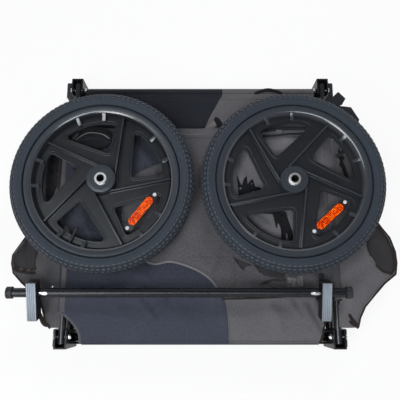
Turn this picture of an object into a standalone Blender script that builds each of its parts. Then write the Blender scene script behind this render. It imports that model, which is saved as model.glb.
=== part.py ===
"""A dog bike trailer folded flat, with its two wheels and its axle laid on top.

Metres, +Z up. X runs along the trailer, Y across it. The near side wall folds over the far one.
The origin is the centre of the floor board's underside.
"""
import math

import bmesh
import bpy
from mathutils import Matrix, Vector

# Clearances
GAP = 0.0003
PIN_PLAY = 0.0003

# Base frame
RAIL_R = 0.0095
RAIL_Z = 0.0145
SIDE_RAIL_X = 0.2825
END_RAIL_PAST_HINGE = 0.003
BOARD_THICK = 0.006
MAT_THICK = 0.0027
SILL_THICK = 0.0025
NEAR_SILL_TOP = 0.068
FAR_SILL_TOP = 0.024

# Corner brackets and what they hold
BRACKET_PAST_HINGE = 0.024
BRACKET_DEPTH = 0.038
BRACKET_WALL = 0.003
BRACKET_OVER_PIN = 0.012
FOOT_WIDTH = 0.0165
FOOT_TALL = 0.040
FOOT_BEVEL = 0.0025
BOLT_R = 0.003
BOLT_HEAD_R = 0.0055
BOLT_HEAD_TALL = 0.004
NUT_TALL = 0.008

# Folding side walls
TUBE_R = 0.008
HINGE_Y = 0.276
FAR_HINGE_Z = 0.050
FOLD_RISE = 0.030
WALL_TALL = 0.434
TUBE_PAST_PIN = 0.014
FRAME_BEND_R = 0.030
FRAME_PASS = 0.003
JOG_START = 0.050
JOG_END = 0.100
ROOF_BAR_R = 0.007
ROOF_BAR_INSET = 0.0225
ROOF_BAR_CLIP_R = 0.0095
ROOF_BAR_CLIP_LONG = 0.030
ROOF_BAR_Y = 0.110

# Cloth
CLOTH = 0.0032
FAR_CLOTH = 0.0028
HEM_PAST_PIN = 0.0125
HEM_PAST_RAIL = 0.010
COVER_PAST_TUBE = 0.0005
FAR_COVER_INSET = 0.0205
FOLD_TALL = 0.0078
CLOTH_STEP = 0.034
FAR_CLOTH_STEP = 0.070
FLAP_DROOP = 0.26
FLAP_FOLD = 0.004
STRAP_THICK = 0.0025

# Wheels
TYRE_TALL = 0.0325
TYRE_HALF = 0.0215
WHEEL_GAP = 0.0115
WHEEL_PAIR_X = -0.0045
WHEEL_OVER_COVER = 0.0105
RIM_R = 0.1605
RIM_HALF = 0.0180
BEAD_IN = 0.0080
WELL_IN = 0.0100
FLANGE_WIDE = 0.0140
WEB_IN = 0.0205
FIN_IN = 0.0305
WINDOW_IN = 0.0330
WEB_TOP = -0.001
WEB_THICK = 0.005
HUB_R = 0.0295
HUB_OUT = 0.0230
HUB_IN = 0.0185
BEARING_R = 0.0140
BEARING_TALL = 0.008
SLEEVE_R = 0.0082
SLEEVE_FLANGE_R = 0.0123
SLEEVE_FLANGE_TALL = 0.0035
AXLE_BORE_R = 0.006
ARMS = 5
WHEEL_STEPS = 40
RIB_IN_HUB = 0.0035
RIB_WIDTH = 0.0036
RIB_TOP = 0.0125
RIB_BOTTOM = -0.0155
FIN_WIDTH = 0.0065
FIN_TOP = 0.0110
FIN_TURNS = (17.3, 39.8)
WINDOW_HUB_R = 0.0590
WINDOW_HUB_TURN = 4.0
WINDOW_TURNS = (5.0, 59.8)
WINDOW_FILLET = 0.008
VALVE_TURN = 27.5
VALVE_R = 0.0027
VALVE_CAP_R = 0.0040
VALVE_TIP_IN = 0.0525
VALVE_CAP_LONG = 0.013
VALVE_Z = 0.0040
REFLECTOR_TURN = 33.0
REFLECTOR_AT = 0.648
REFLECTOR_SHARE = 0.623
REFLECTOR_WIDE = 0.0195
REFLECTOR_BASE = 0.0025
LENS_SHARE = 0.71
LENS_WIDE = 0.0172
LENS_TALL = 0.0065
RIVET_SHARE = 0.88
RIVET_R = 0.0040
RIVET_TALL = 0.0016
LEFT_WHEEL_TURN = 1.0
RIGHT_WHEEL_TURN = -86.5

# Axle
AXLE_X = -0.041
AXLE_Y = -0.1885
AXLE_Z = 0.1235
AXLE_HALF = 0.344
AXLE_R = 0.0093
COLLAR_THICK = 0.0027
COLLAR_LONG = 0.0125
SOCKET_DEEP = 0.045
WHEEL_TO_AXLE = 0.0265
BLOCK_APART = 0.581
BLOCK_WIDE = 0.0185
BLOCK_LONG = 0.0765
BLOCK_BELOW = 0.0027
BLOCK_BACK = 0.0235
BLOCK_ABOVE = 0.0180
BLOCK_LEAN = math.radians(18)
GROOVE_DEEP = 0.0008
GROOVES = 4

# Places and sizes that follow from the dimensions
BRACKET_END_Y = HINGE_Y + BRACKET_PAST_HINGE
END_RAIL_Y = HINGE_Y + END_RAIL_PAST_HINGE
ROOF_BAR_LONG = 2 * (SIDE_RAIL_X - ROOF_BAR_INSET)
FAR_COVER_X = SIDE_RAIL_X - FAR_COVER_INSET
TYRE_R = RIM_R + TYRE_TALL
BEAD_R = RIM_R - BEAD_IN
WELL_R = RIM_R - WELL_IN
FLANGE_IN_R = RIM_R - FLANGE_WIDE
WEB_OUT_R = RIM_R - WEB_IN
FIN_IN_R = RIM_R - FIN_IN
WINDOW_OUT_R = RIM_R - WINDOW_IN
RIB_OFFSET = HUB_R - RIB_IN_HUB
VALVE_TIP_R = RIM_R - VALVE_TIP_IN
REFLECTOR_AT_R = RIM_R * REFLECTOR_AT
REFLECTOR_LONG = RIM_R * REFLECTOR_SHARE
LENS_LONG = REFLECTOR_LONG * LENS_SHARE
RIVET_APART = REFLECTOR_LONG * RIVET_SHARE
COLLAR_R = AXLE_R + COLLAR_THICK
BLOCK_TALL = BLOCK_ABOVE + AXLE_R + BLOCK_BELOW
NEAR_HINGE_Z = FAR_HINGE_Z + FOLD_RISE
COVER_Z = NEAR_HINGE_Z + TUBE_R + GAP
FAR_COVER_Z = FAR_HINGE_Z + TUBE_R + GAP
WHEEL_Z = COVER_Z + CLOTH + WHEEL_OVER_COVER + TYRE_HALF
WHEEL_Y = AXLE_Y + AXLE_R + WHEEL_TO_AXLE + TYRE_R
LEFT_WHEEL_X = WHEEL_PAIR_X - TYRE_R - WHEEL_GAP / 2
RIGHT_WHEEL_X = WHEEL_PAIR_X + TYRE_R + WHEEL_GAP / 2
CHEEK_IN = max(RAIL_R, TUBE_R) + GAP
CHEEK_OUT = CHEEK_IN + BRACKET_WALL
COVER_EDGE_X = SIDE_RAIL_X + TUBE_R + COVER_PAST_TUBE
FLAP_EDGE_X = COVER_EDGE_X + 0.0015
NEAR_HEM_Y = -(HINGE_Y + HEM_PAST_PIN)
NEAR_TOP_Y = -HINGE_Y + WALL_TALL + HEM_PAST_RAIL
FAR_TOP_Y = HINGE_Y - WALL_TALL - HEM_PAST_RAIL
WEB_BOTTOM = WEB_TOP - WEB_THICK

for old in list(bpy.data.objects):
    bpy.data.objects.remove(old)

PARTS = bpy.data.collections.new("dog_bike_trailer")
CUTTERS = bpy.data.collections.new("cutters")
bpy.context.scene.collection.children.link(PARTS)
bpy.context.scene.collection.children.link(CUTTERS)


def material(name, colour, roughness, metallic=0.0):
    made = bpy.data.materials.new(name)
    made.use_nodes = True
    shader = made.node_tree.nodes["Principled BSDF"]
    shader.inputs["Base Color"].default_value = (*colour, 1)
    shader.inputs["Roughness"].default_value = roughness
    shader.inputs["Metallic"].default_value = metallic
    return made


BLACK_PAINT = material("black_paint", (0.012, 0.012, 0.013), 0.25)
BLACK_PLASTIC = material("black_plastic", (0.025, 0.026, 0.028), 0.5)
RUBBER = material("tyre_rubber", (0.030, 0.032, 0.035), 0.75)
GREY_CLOTH = material("warm_grey_cloth", (0.072, 0.064, 0.060), 0.85)
BLACK_CLOTH = material("blue_black_cloth", (0.022, 0.023, 0.028), 0.85)
CHROME = material("chrome", (0.75, 0.75, 0.76), 0.12, 1.0)
ALUMINIUM = material("brushed_aluminium", (0.50, 0.53, 0.56), 0.35, 1.0)
AMBER = material("amber_lens", (0.85, 0.16, 0.01), 0.2)
BOARD = material("floor_board", (0.030, 0.028, 0.026), 0.6)
WEBBING = material("black_webbing", (0.020, 0.020, 0.022), 0.8)


# Building blocks

def put(name, mesh, finish, place=None):
    """Links a mesh as a named piece with its material."""
    piece = bpy.data.objects.new(name, mesh)
    PARTS.objects.link(piece)
    mesh.materials.clear()
    mesh.materials.append(finish)
    if place is not None:
        piece.matrix_world = place
    return piece


def mesh_of(bm, name):
    mesh = bpy.data.meshes.new(name)
    bm.to_mesh(mesh)
    bm.free()
    return mesh


def box_mesh(name, size, centre=(0, 0, 0), bevel=0.0):
    bm = bmesh.new()
    bmesh.ops.create_cube(bm, size=1)
    bmesh.ops.scale(bm, vec=size, verts=bm.verts)
    if bevel:
        bmesh.ops.bevel(bm, geom=bm.edges[:], offset=bevel, segments=2, profile=0.5, affect="EDGES")
    bmesh.ops.translate(bm, vec=centre, verts=bm.verts)
    return mesh_of(bm, name)


def rod_mesh(name, radius, length, centre=(0, 0, 0), axis="X", sides=16):
    """A cylinder along an axis, centred on a point."""
    bm = bmesh.new()
    bmesh.ops.create_cone(bm, cap_ends=True, segments=sides, radius1=radius, radius2=radius, depth=length)
    turn = {"X": Matrix.Rotation(math.pi / 2, 4, "Y"), "Y": Matrix.Rotation(math.pi / 2, 4, "X"), "Z": Matrix()}
    bmesh.ops.transform(bm, matrix=Matrix.Translation(centre) @ turn[axis], verts=bm.verts)
    return mesh_of(bm, name)


def joined(name, meshes):
    """One mesh that holds several separate ones."""
    bm = bmesh.new()
    for mesh in meshes:
        bm.from_mesh(mesh)
        bpy.data.meshes.remove(mesh)
    return mesh_of(bm, name)


def moved(mesh, place):
    mesh.transform(place)
    return mesh


def evaluated(source, name):
    """The finished mesh of an object, with its modifiers applied, and the object removed."""
    bpy.context.view_layer.update()
    graph = bpy.context.evaluated_depsgraph_get()
    mesh = bpy.data.meshes.new_from_object(source.evaluated_get(graph))
    mesh.name = name
    mesh.transform(source.matrix_world)
    bpy.data.objects.remove(source)
    return mesh


def welded(mesh):
    bm = bmesh.new()
    bm.from_mesh(mesh)
    bmesh.ops.remove_doubles(bm, verts=bm.verts, dist=0.00001)
    bmesh.ops.recalc_face_normals(bm, faces=bm.faces)
    bm.to_mesh(mesh)
    bm.free()
    return mesh


def prism_mesh(name, outline, low, high):
    """A flat outline given a thickness from low to high."""
    curve = bpy.data.curves.new(name, "CURVE")
    curve.dimensions = "2D"
    curve.fill_mode = "BOTH"
    curve.extrude = (high - low) / 2
    spline = curve.splines.new("POLY")
    spline.points.add(len(outline) - 1)
    for point, (x, y) in zip(spline.points, outline):
        point.co = (x, y, 0, 1)
    spline.use_cyclic_u = True
    holder = bpy.data.objects.new(name, curve)
    CUTTERS.objects.link(holder)
    holder.location.z = (high + low) / 2
    return welded(evaluated(holder, name))


def tube_mesh(name, route, radius):
    """A bent tube along a route, with filled ends."""
    curve = bpy.data.curves.new(name, "CURVE")
    curve.dimensions = "3D"
    curve.bevel_depth = radius
    curve.bevel_resolution = 4
    curve.use_fill_caps = True
    spline = curve.splines.new("POLY")
    spline.points.add(len(route) - 1)
    for point, place in zip(spline.points, route):
        point.co = (*place, 1)
    holder = bpy.data.objects.new(name, curve)
    CUTTERS.objects.link(holder)
    return welded(evaluated(holder, name))


def turned_mesh(name, profile, steps):
    """A profile of (radius, height) points turned about the Z axis."""
    bm = bmesh.new()
    corners = [bm.verts.new((radius, 0, height)) for radius, height in profile]
    for first, second in zip(corners, corners[1:] + corners[:1]):
        if first.co.x or second.co.x:
            bm.edges.new((first, second))
    holder = bpy.data.objects.new(name, mesh_of(bm, name))
    CUTTERS.objects.link(holder)
    screw = holder.modifiers.new("turn", "SCREW")
    screw.steps = screw.render_steps = steps
    screw.use_merge_vertices = True
    screw.merge_threshold = 0.00001
    return welded(evaluated(holder, name))


def combined(name, body, tool, operation):
    """The mesh left when a tool mesh cuts, joins or trims a body mesh."""
    base = bpy.data.objects.new(name, body)
    other = bpy.data.objects.new(name + "_tool", tool)
    other.hide_render = True
    other.display_type = "WIRE"
    CUTTERS.objects.link(base)
    CUTTERS.objects.link(other)
    step = base.modifiers.new("cut", "BOOLEAN")
    step.operation = operation
    step.object = other
    step.solver = "EXACT"
    mesh = evaluated(base, name)
    bpy.data.objects.remove(other)
    return mesh


def smooth_shaded(piece, angle=35):
    piece.data.shade_smooth()
    piece.data.set_sharp_from_angle(angle=math.radians(angle))


def polar(radius, degrees):
    return Vector((radius * math.cos(math.radians(degrees)), radius * math.sin(math.radians(degrees))))


def arc(centre, radius, start, end, steps):
    """Points on an arc, with its angles in degrees."""
    return [tuple(Vector(centre) + polar(radius, start + (end - start) * k / steps)) for k in range(steps + 1)]


def rounded(corners, radius, steps=3):
    """An outline whose corners are arcs of one radius."""
    outline = []
    for k, corner in enumerate(corners):
        here = Vector(corner)
        back = (Vector(corners[k - 1]) - here).normalized()
        ahead = (Vector(corners[(k + 1) % len(corners)]) - here).normalized()
        half = back.angle(ahead) / 2
        if half > math.radians(80):
            outline.append(tuple(here))
            continue
        middle = here + (back + ahead).normalized() * radius / math.sin(half)
        first = here + back * radius / math.tan(half)
        start = math.atan2(*(first - middle).yx)
        sweep = (back.x * ahead.y - back.y * ahead.x > 0) * 2 - 1
        turn = -sweep * (math.pi - 2 * half)
        for j in range(steps + 1):
            angle = start + turn * j / steps
            outline.append((middle.x + radius * math.cos(angle), middle.y + radius * math.sin(angle)))
    return outline


def through(points, steps=4):
    """A smooth line through points, as a Catmull-Rom curve."""
    points = [Vector(p) for p in points]
    padded = [2 * points[0] - points[1], *points, 2 * points[-1] - points[-2]]
    line = []
    for a, b, c, d in zip(padded, padded[1:], padded[2:], padded[3:]):
        for k in range(steps):
            t = k / steps
            line.append(0.5 * (2 * b + (c - a) * t + (2 * a - 5 * b + 4 * c - d) * t**2 + (3 * b - a - 3 * c + d) * t**3))
    return [tuple(p) for p in [*line, points[-1]]]


def beside(line, distance):
    """A line moved to its right by a distance."""
    shifted = []
    for k, point in enumerate(line):
        along = Vector(line[min(k + 1, len(line) - 1)]) - Vector(line[max(k - 1, 0)])
        shifted.append(tuple(Vector(point) + distance * Vector((along.y, -along.x)).normalized()))
    return shifted


def empty(name, place, parent=None):
    marker = bpy.data.objects.new(name, None)
    PARTS.objects.link(marker)
    marker.matrix_world = place
    attach(marker, parent)
    return marker


def attach(child, parent):
    """Parents a piece without moving it."""
    if parent is None:
        return
    bpy.context.view_layer.update()
    child.parent = parent
    child.matrix_parent_inverse = parent.matrix_world.inverted()


def cloth_mesh(name, outline, height, thickness, step):
    """A cloth panel: a folded sheet trimmed to an outline."""
    xs = [p[0] for p in outline]
    ys = [p[1] for p in outline]
    wide, deep = max(xs) - min(xs) + step, max(ys) - min(ys) + step
    bm = bmesh.new()
    bmesh.ops.create_grid(bm, x_segments=math.ceil(wide / step), y_segments=math.ceil(deep / step), size=0.5)
    bmesh.ops.scale(bm, vec=(wide, deep, 1), verts=bm.verts)
    centre = ((max(xs) + min(xs)) / 2, (max(ys) + min(ys)) / 2, 0)
    bmesh.ops.translate(bm, vec=centre, verts=bm.verts)
    for vert in bm.verts:
        vert.co.z = height(vert.co.x, vert.co.y)
    sheet = bpy.data.objects.new(name, mesh_of(bm, name))
    CUTTERS.objects.link(sheet)
    shell = sheet.modifiers.new("thickness", "SOLIDIFY")
    shell.thickness = thickness
    shell.offset = 1
    solid = evaluated(sheet, name)
    heights = [v.co.z for v in solid.vertices]
    return combined(name, solid, prism_mesh(name, outline, min(heights) - 0.01, max(heights) + 0.01), "INTERSECT")


# Base

def make_rails():
    end_long = 2 * (SIDE_RAIL_X - CHEEK_OUT - GAP)
    side_long = 2 * (BRACKET_END_Y - BRACKET_WALL - GAP)
    for name, y in (("near_rail", -END_RAIL_Y), ("far_rail", END_RAIL_Y)):
        smooth_shaded(put(name, rod_mesh(name, RAIL_R, end_long, (0, y, RAIL_Z), "X", 20), BLACK_PAINT))
    for name, x in (("left_side_rail", -SIDE_RAIL_X), ("right_side_rail", SIDE_RAIL_X)):
        smooth_shaded(put(name, rod_mesh(name, RAIL_R, side_long, (x, 0, RAIL_Z), "Y", 20), BLACK_PAINT))


def make_floor():
    wide = 2 * (SIDE_RAIL_X - CHEEK_OUT - 2 * GAP)
    deep = 2 * (END_RAIL_Y - RAIL_R - 2 * GAP)
    put("floor_board", box_mesh("floor_board", (wide, deep, BOARD_THICK), (0, 0, BOARD_THICK / 2)), BOARD)
    mat_z = BOARD_THICK + GAP + MAT_THICK / 2
    put("floor_mat", box_mesh("floor_mat", (wide - 0.004, deep - 0.004, MAT_THICK), (0, 0, mat_z)), BLACK_CLOTH)


def make_sills():
    """Cloth strips that close the base below the side walls."""
    long = 2 * (SIDE_RAIL_X - CHEEK_OUT - 2 * GAP)
    low = 0.004
    for name, side, top in (("near_sill", -1, NEAR_SILL_TOP), ("far_sill", 1, FAR_SILL_TOP)):
        y = side * (END_RAIL_Y + RAIL_R + GAP + SILL_THICK / 2)
        put(name, box_mesh(name, (long, SILL_THICK, top - low), (0, y, (top + low) / 2)), BLACK_CLOTH)


def make_corner(name, side_x, side_y, hinge_z):
    """A channel bracket that takes a side rail below and a wall tube on a bolt above."""
    height = hinge_z + BRACKET_OVER_PIN
    inner_y = BRACKET_END_Y - BRACKET_WALL
    channel = [
        (-CHEEK_OUT, BRACKET_END_Y), (-CHEEK_OUT, BRACKET_END_Y - BRACKET_DEPTH),
        (-CHEEK_IN, BRACKET_END_Y - BRACKET_DEPTH), (-CHEEK_IN, inner_y),
        (CHEEK_IN, inner_y), (CHEEK_IN, BRACKET_END_Y - BRACKET_DEPTH),
        (CHEEK_OUT, BRACKET_END_Y - BRACKET_DEPTH), (CHEEK_OUT, BRACKET_END_Y),
    ]
    outline = [(side_x * (SIDE_RAIL_X + x), side_y * y) for x, y in channel]
    body = prism_mesh(name, outline, 0.0005, height)
    hole = rod_mesh(name, BOLT_R + PIN_PLAY, 4 * CHEEK_OUT, (side_x * SIDE_RAIL_X, side_y * HINGE_Y, hinge_z), "X")
    put(name + "_bracket", combined(name, body, hole, "DIFFERENCE"), BLACK_PAINT)
    foot_x = side_x * (SIDE_RAIL_X + CHEEK_OUT + GAP + FOOT_WIDTH / 2)
    foot_y = side_y * (BRACKET_END_Y - BRACKET_DEPTH / 2)
    foot = box_mesh(name, (FOOT_WIDTH, BRACKET_DEPTH, FOOT_TALL), (foot_x, foot_y, FOOT_TALL / 2), FOOT_BEVEL)
    put(name + "_foot", foot, BLACK_PLASTIC)


def hinge_places():
    """Each corner's name and hinge point, with the end of the trailer that it faces."""
    for end, side_x in (("left", -1), ("right", 1)):
        yield "near_" + end, side_x, (side_x * SIDE_RAIL_X, -HINGE_Y, NEAR_HINGE_Z)
        yield "far_" + end, side_x, (side_x * SIDE_RAIL_X, HINGE_Y, FAR_HINGE_Z)


def outwards(side_x, place):
    """Turns local +Z to point out of the trailer's end at a place."""
    return Matrix.Translation(place) @ Matrix.Rotation(side_x * math.pi / 2, 4, "Y")


def make_hinge_hardware():
    """A bolt through each bracket and wall tube, with a domed nut on its inner end."""
    head = CHEEK_OUT + GAP
    past = CHEEK_OUT + NUT_TALL * 0.6
    bolt = [(0, -past), (BOLT_R, -past), (BOLT_R, head), (BOLT_HEAD_R, head)]
    bolt += [(BOLT_HEAD_R, head + BOLT_HEAD_TALL * 0.7), (BOLT_HEAD_R * 0.7, head + BOLT_HEAD_TALL)]
    bolt += [(0, head + BOLT_HEAD_TALL)]
    seat = -(CHEEK_OUT + GAP)
    bore = BOLT_R + PIN_PLAY
    nut = [(bore, seat), (bore, -past - GAP), (0, -past - GAP), (0, seat - NUT_TALL)]
    nut += [(BOLT_HEAD_R * 0.7, seat - NUT_TALL * 0.85), (BOLT_HEAD_R, seat - NUT_TALL * 0.5), (BOLT_HEAD_R, seat)]
    shapes = (("hinge_bolt", turned_mesh("bolt", bolt, 14)), ("hinge_nut", turned_mesh("nut", nut, 14)))
    for corner, side_x, place in hinge_places():
        for name, mesh in shapes:
            smooth_shaded(put(f"{corner}_{name}", mesh, CHROME, outwards(side_x, place)))


def make_roof_bars():
    """Two bars that hold the side walls apart in use, stored on the floor."""
    z = BOARD_THICK + MAT_THICK + 2 * GAP + ROOF_BAR_CLIP_R
    bar_half, clip = ROOF_BAR_LONG / 2, ROOF_BAR_CLIP_LONG
    profile = [(0, -bar_half), (ROOF_BAR_CLIP_R, -bar_half), (ROOF_BAR_CLIP_R, clip - bar_half)]
    profile += [(ROOF_BAR_R, clip - bar_half), (ROOF_BAR_R, bar_half - clip)]
    profile += [(ROOF_BAR_CLIP_R, bar_half - clip), (ROOF_BAR_CLIP_R, bar_half), (0, bar_half)]
    for name, y in (("near_roof_bar", -ROOF_BAR_Y), ("far_roof_bar", ROOF_BAR_Y)):
        place = Matrix.Translation((0, y, z)) @ Matrix.Rotation(math.pi / 2, 4, "Y")
        smooth_shaded(put(name, moved(turned_mesh(name, profile, 14), place), BLACK_PAINT))


# Side walls

def bent(start, corner, end, radius, steps=5):
    """Points round a corner between two straight runs, without the runs' far ends."""
    start, corner, end = Vector(start), Vector(corner), Vector(end)
    back, ahead = (start - corner).normalized(), (end - corner).normalized()
    half = back.angle(ahead) / 2
    middle = corner + (back + ahead).normalized() * radius / math.sin(half)
    first = corner + back * radius / math.tan(half) - middle
    last = corner + ahead * radius / math.tan(half) - middle
    return [middle + first.slerp(last, k / steps).normalized() * radius for k in range(steps + 1)]


def frame_route(side_y, hinge_z, inward, jog):
    """The centre line of a U shaped wall frame, from its left foot to its right foot."""
    foot = side_y * (HINGE_Y + TUBE_PAST_PIN)
    top = side_y * (HINGE_Y - WALL_TALL)
    upper_x = SIDE_RAIL_X - inward
    left = [Vector((-SIDE_RAIL_X, foot, hinge_z))]
    if jog:
        low, high = (side_y * (HINGE_Y - s) for s in (JOG_START, JOG_END))
        left += [Vector((-SIDE_RAIL_X, low, hinge_z)), Vector((-upper_x, high, hinge_z))]
    corner = (-upper_x, top, hinge_z)
    left += bent(left[-1], corner, (0, top, hinge_z), FRAME_BEND_R)
    right = [Vector((-p.x, p.y, p.z)) for p in reversed(left)]
    return left + right


def make_frame(name, side_y, hinge_z, inward, jog, hinge):
    body = tube_mesh(name, frame_route(side_y, hinge_z, inward, jog), TUBE_R)
    holes = [
        rod_mesh("hole", BOLT_R + PIN_PLAY, 4 * TUBE_R, (side * SIDE_RAIL_X, side_y * HINGE_Y, hinge_z), "X")
        for side in (-1, 1)
    ]
    frame = put(name, combined(name, body, joined("holes", holes), "DIFFERENCE"), BLACK_PAINT)
    smooth_shaded(frame)
    attach(frame, hinge)


def ridge(x, y, start, end, width):
    """How close a point is to a crease line, from 0 to 1."""
    line = Vector(end) - Vector(start)
    reach = Vector((x, y)) - Vector(start)
    t = min(max(reach.dot(line) / line.length_squared, 0), 1)
    return math.exp(-(((reach - t * line).length / width) ** 2))


def near_cover_height(x, y):
    """The near wall's cloth: creases and soft puffs, flat at its hems."""
    crease_y = NEAR_HEM_Y + 0.0865
    fold = 0.75 * ridge(x, y, (0.045, crease_y), (0.200, crease_y + 0.010), 0.016)
    fold += 0.60 * ridge(x, y, (-0.235, -0.085), (-0.150, -0.250), 0.020)
    fold += 0.45 * ridge(x, y, (-0.120, -0.150), (-0.030, -0.250), 0.022)
    fold += 0.70 * ridge(x, y, (0.090, -0.120), (0.180, -0.160), 0.020)
    fold += 0.55 * ridge(x, y, (-0.004, -0.120), (-0.004, 0.120), 0.030)
    fold += 0.50 * ridge(x, y, (0.080, 0.120), (0.180, 0.060), 0.030)
    fold += 0.50 * ridge(x, y, (-0.200, 0.150), (-0.080, 0.120), 0.030)
    for wheel_x in (LEFT_WHEEL_X, RIGHT_WHEEL_X):
        hub = math.hypot(x - wheel_x, y - WHEEL_Y)
        fold *= min(max(hub / HUB_R - 1, 0), 1)
    edge = min(y - NEAR_HEM_Y, NEAR_TOP_Y - y, COVER_EDGE_X - abs(x), SIDE_RAIL_X - 0.05 - x)
    return COVER_Z + FOLD_TALL * min(fold, 1) * min(max(edge / 0.030, 0), 1)


def near_cover_outline():
    """The near wall's cloth, from its hem on the left round by the top, with both foot cut-outs."""
    hem, top, edge, tube = NEAR_HEM_Y, NEAR_TOP_Y, COVER_EDGE_X, SIDE_RAIL_X
    bend = FRAME_BEND_R
    left = through([(0.0405 - tube, hem), (0.0375 - tube, hem + 0.0205), (0.0225 - tube, hem + 0.0425)])
    left += [(0.006 - tube, hem + 0.0565), (-edge, hem + 0.0605)]
    right = [(edge, hem + 0.085), (tube - 0.0525, hem + 0.1005)]
    right += through([(tube - 0.0325, hem + 0.0745), (tube - 0.0275, hem + 0.0625)])
    right += [(tube - 0.0355, hem + 0.0165), (tube - 0.0405, hem)]
    crown = arc((-edge + bend, top - bend), bend, 180, 90, 4) + arc((edge - bend, top - bend), bend, 90, 0, 4)
    return left + crown + right


def near_seam():
    """The curved seam between the near wall's black and grey cloth, from the hem up to the top."""
    hem = NEAR_HEM_Y
    points = [(0.058, hem - 0.010), (0.055, hem + 0.0505), (0.049, hem + 0.0865), (0.031, hem + 0.1165)]
    points += [(0.0103, hem + 0.1366), (-0.0207, hem + 0.1530), (-0.0622, hem + 0.1644), (-0.1036, hem + 0.1613), (-0.155, hem + 0.2035), (-0.165, hem + 0.2885)]
    points += [(-0.140, hem + 0.3485), (-0.075, hem + 0.3885), (-0.050, NEAR_TOP_Y + 0.010)]
    return through(points, 3)


def make_near_cover(hinge):
    whole = cloth_mesh("near_cover", near_cover_outline(), near_cover_height, CLOTH, CLOTH_STEP)
    seam = near_seam()
    far_left = -(COVER_EDGE_X + 0.05)
    for name, line, operation, finish in (
        ("near_cover_black", beside(seam, -GAP / 2), "INTERSECT", BLACK_CLOTH),
        ("near_cover_grey", beside(seam, GAP / 2), "DIFFERENCE", GREY_CLOTH),
    ):
        outline = [*line, (far_left, line[-1][1]), (far_left, line[0][1])]
        side = prism_mesh(name, outline, COVER_Z - 0.02, COVER_Z + 0.03)
        attach(put(name, combined(name, whole.copy(), side, operation), finish), hinge)
    bpy.data.meshes.remove(whole)


def flap_height(x, y):
    """An end flap droops away from its wall, in soft folds."""
    out = abs(x) - FLAP_EDGE_X
    start = (math.copysign(FLAP_EDGE_X + 0.02, x), NEAR_HEM_Y + 0.1485)
    end = (math.copysign(FLAP_EDGE_X + 0.09, x), NEAR_HEM_Y + 0.1785)
    fold = ridge(x, y, start, end, 0.02)
    return COVER_Z - FLAP_DROOP * max(out, 0) + FLAP_FOLD * fold * min(max(out / 0.02, 0), 1)


def left_flap_outline():
    edge, hem = -FLAP_EDGE_X, NEAR_HEM_Y
    shape = [(edge, hem + 0.0305), (edge - 0.0145, hem + 0.0305), (edge - 0.0240, hem + 0.0455), (edge - 0.0380, hem + 0.0885)]
    shape += [(edge - 0.0830, hem + 0.1225), (edge - 0.1040, hem + 0.1435), (edge - 0.1090, hem + 0.1635), (edge - 0.1075, hem + 0.1805)]
    shape += [(edge - 0.0830, hem + 0.2165), (edge - 0.0600, hem + 0.2585), (edge - 0.0560, hem + 0.3185), (edge - 0.0520, hem + 0.3685)]
    return shape + [(edge - 0.0420, hem + 0.4035), (edge - 0.0200, hem + 0.4235), (edge, hem + 0.4265)]


def right_flap_outline():
    edge, hem = FLAP_EDGE_X, NEAR_HEM_Y
    shape = [(edge, hem + 0.4265), (edge + 0.0200, hem + 0.4235), (edge + 0.0420, hem + 0.4035), (edge + 0.0540, hem + 0.3735)]
    shape += [(edge + 0.0675, hem + 0.3185), (edge + 0.0805, hem + 0.2655), (edge + 0.0995, hem + 0.2405), (edge + 0.1180, hem + 0.2185)]
    shape += [(edge + 0.1285, hem + 0.1885), (edge + 0.1300, hem + 0.1645), (edge + 0.1255, hem + 0.1410), (edge + 0.0985, hem + 0.1217)]
    shape += [(edge + 0.0745, hem + 0.0985), (edge + 0.0497, hem + 0.0735), (edge + 0.0370, hem + 0.0505), (edge + 0.0310, hem + 0.0305)]
    return shape + [(edge, hem + 0.0305)]


def left_window_outline():
    edge, hem = -FLAP_EDGE_X, NEAR_HEM_Y
    shape = [(edge - 0.0520, hem + 0.1885), (edge - 0.0520, hem + 0.1495), (edge - 0.0750, hem + 0.1485), (edge - 0.0985, hem + 0.1555)]
    shape += [(edge - 0.1030, hem + 0.1645), (edge - 0.1020, hem + 0.1785), (edge - 0.0780, hem + 0.2135), (edge - 0.0600, hem + 0.2405)]
    return shape + [(edge - 0.0520, hem + 0.2325)]


def right_window_outline():
    edge, hem = FLAP_EDGE_X, NEAR_HEM_Y
    shape = [(edge + 0.0640, hem + 0.1985), (edge + 0.0680, hem + 0.1800), (edge + 0.0820, hem + 0.1569), (edge + 0.0980, hem + 0.1455)]
    shape += [(edge + 0.1150, hem + 0.1410), (edge + 0.1210, hem + 0.1485), (edge + 0.1240, hem + 0.1665), (edge + 0.1225, hem + 0.1875)]
    return shape + [(edge + 0.1125, hem + 0.2155), (edge + 0.0950, hem + 0.2385), (edge + 0.0780, hem + 0.2585), (edge + 0.0700, hem + 0.2385)]


def shrunk(outline, by):
    middle = sum((Vector(p) for p in outline), Vector((0, 0))) / len(outline)
    return [tuple(Vector(p) - (Vector(p) - middle).normalized() * by) for p in outline]


def make_flap(name, outline, window, hinge):
    sheet = cloth_mesh(name, outline, flap_height, CLOTH, CLOTH_STEP)
    low, high = COVER_Z - 0.06, COVER_Z + 0.03
    pane = combined(name, sheet.copy(), prism_mesh(name, shrunk(window, 2 * GAP), low, high), "INTERSECT")
    cloth = combined(name, sheet, prism_mesh(name, window, low, high), "DIFFERENCE")
    attach(put(name, cloth, GREY_CLOTH), hinge)
    attach(put(name + "_window", pane, BLACK_CLOTH), hinge)


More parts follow.
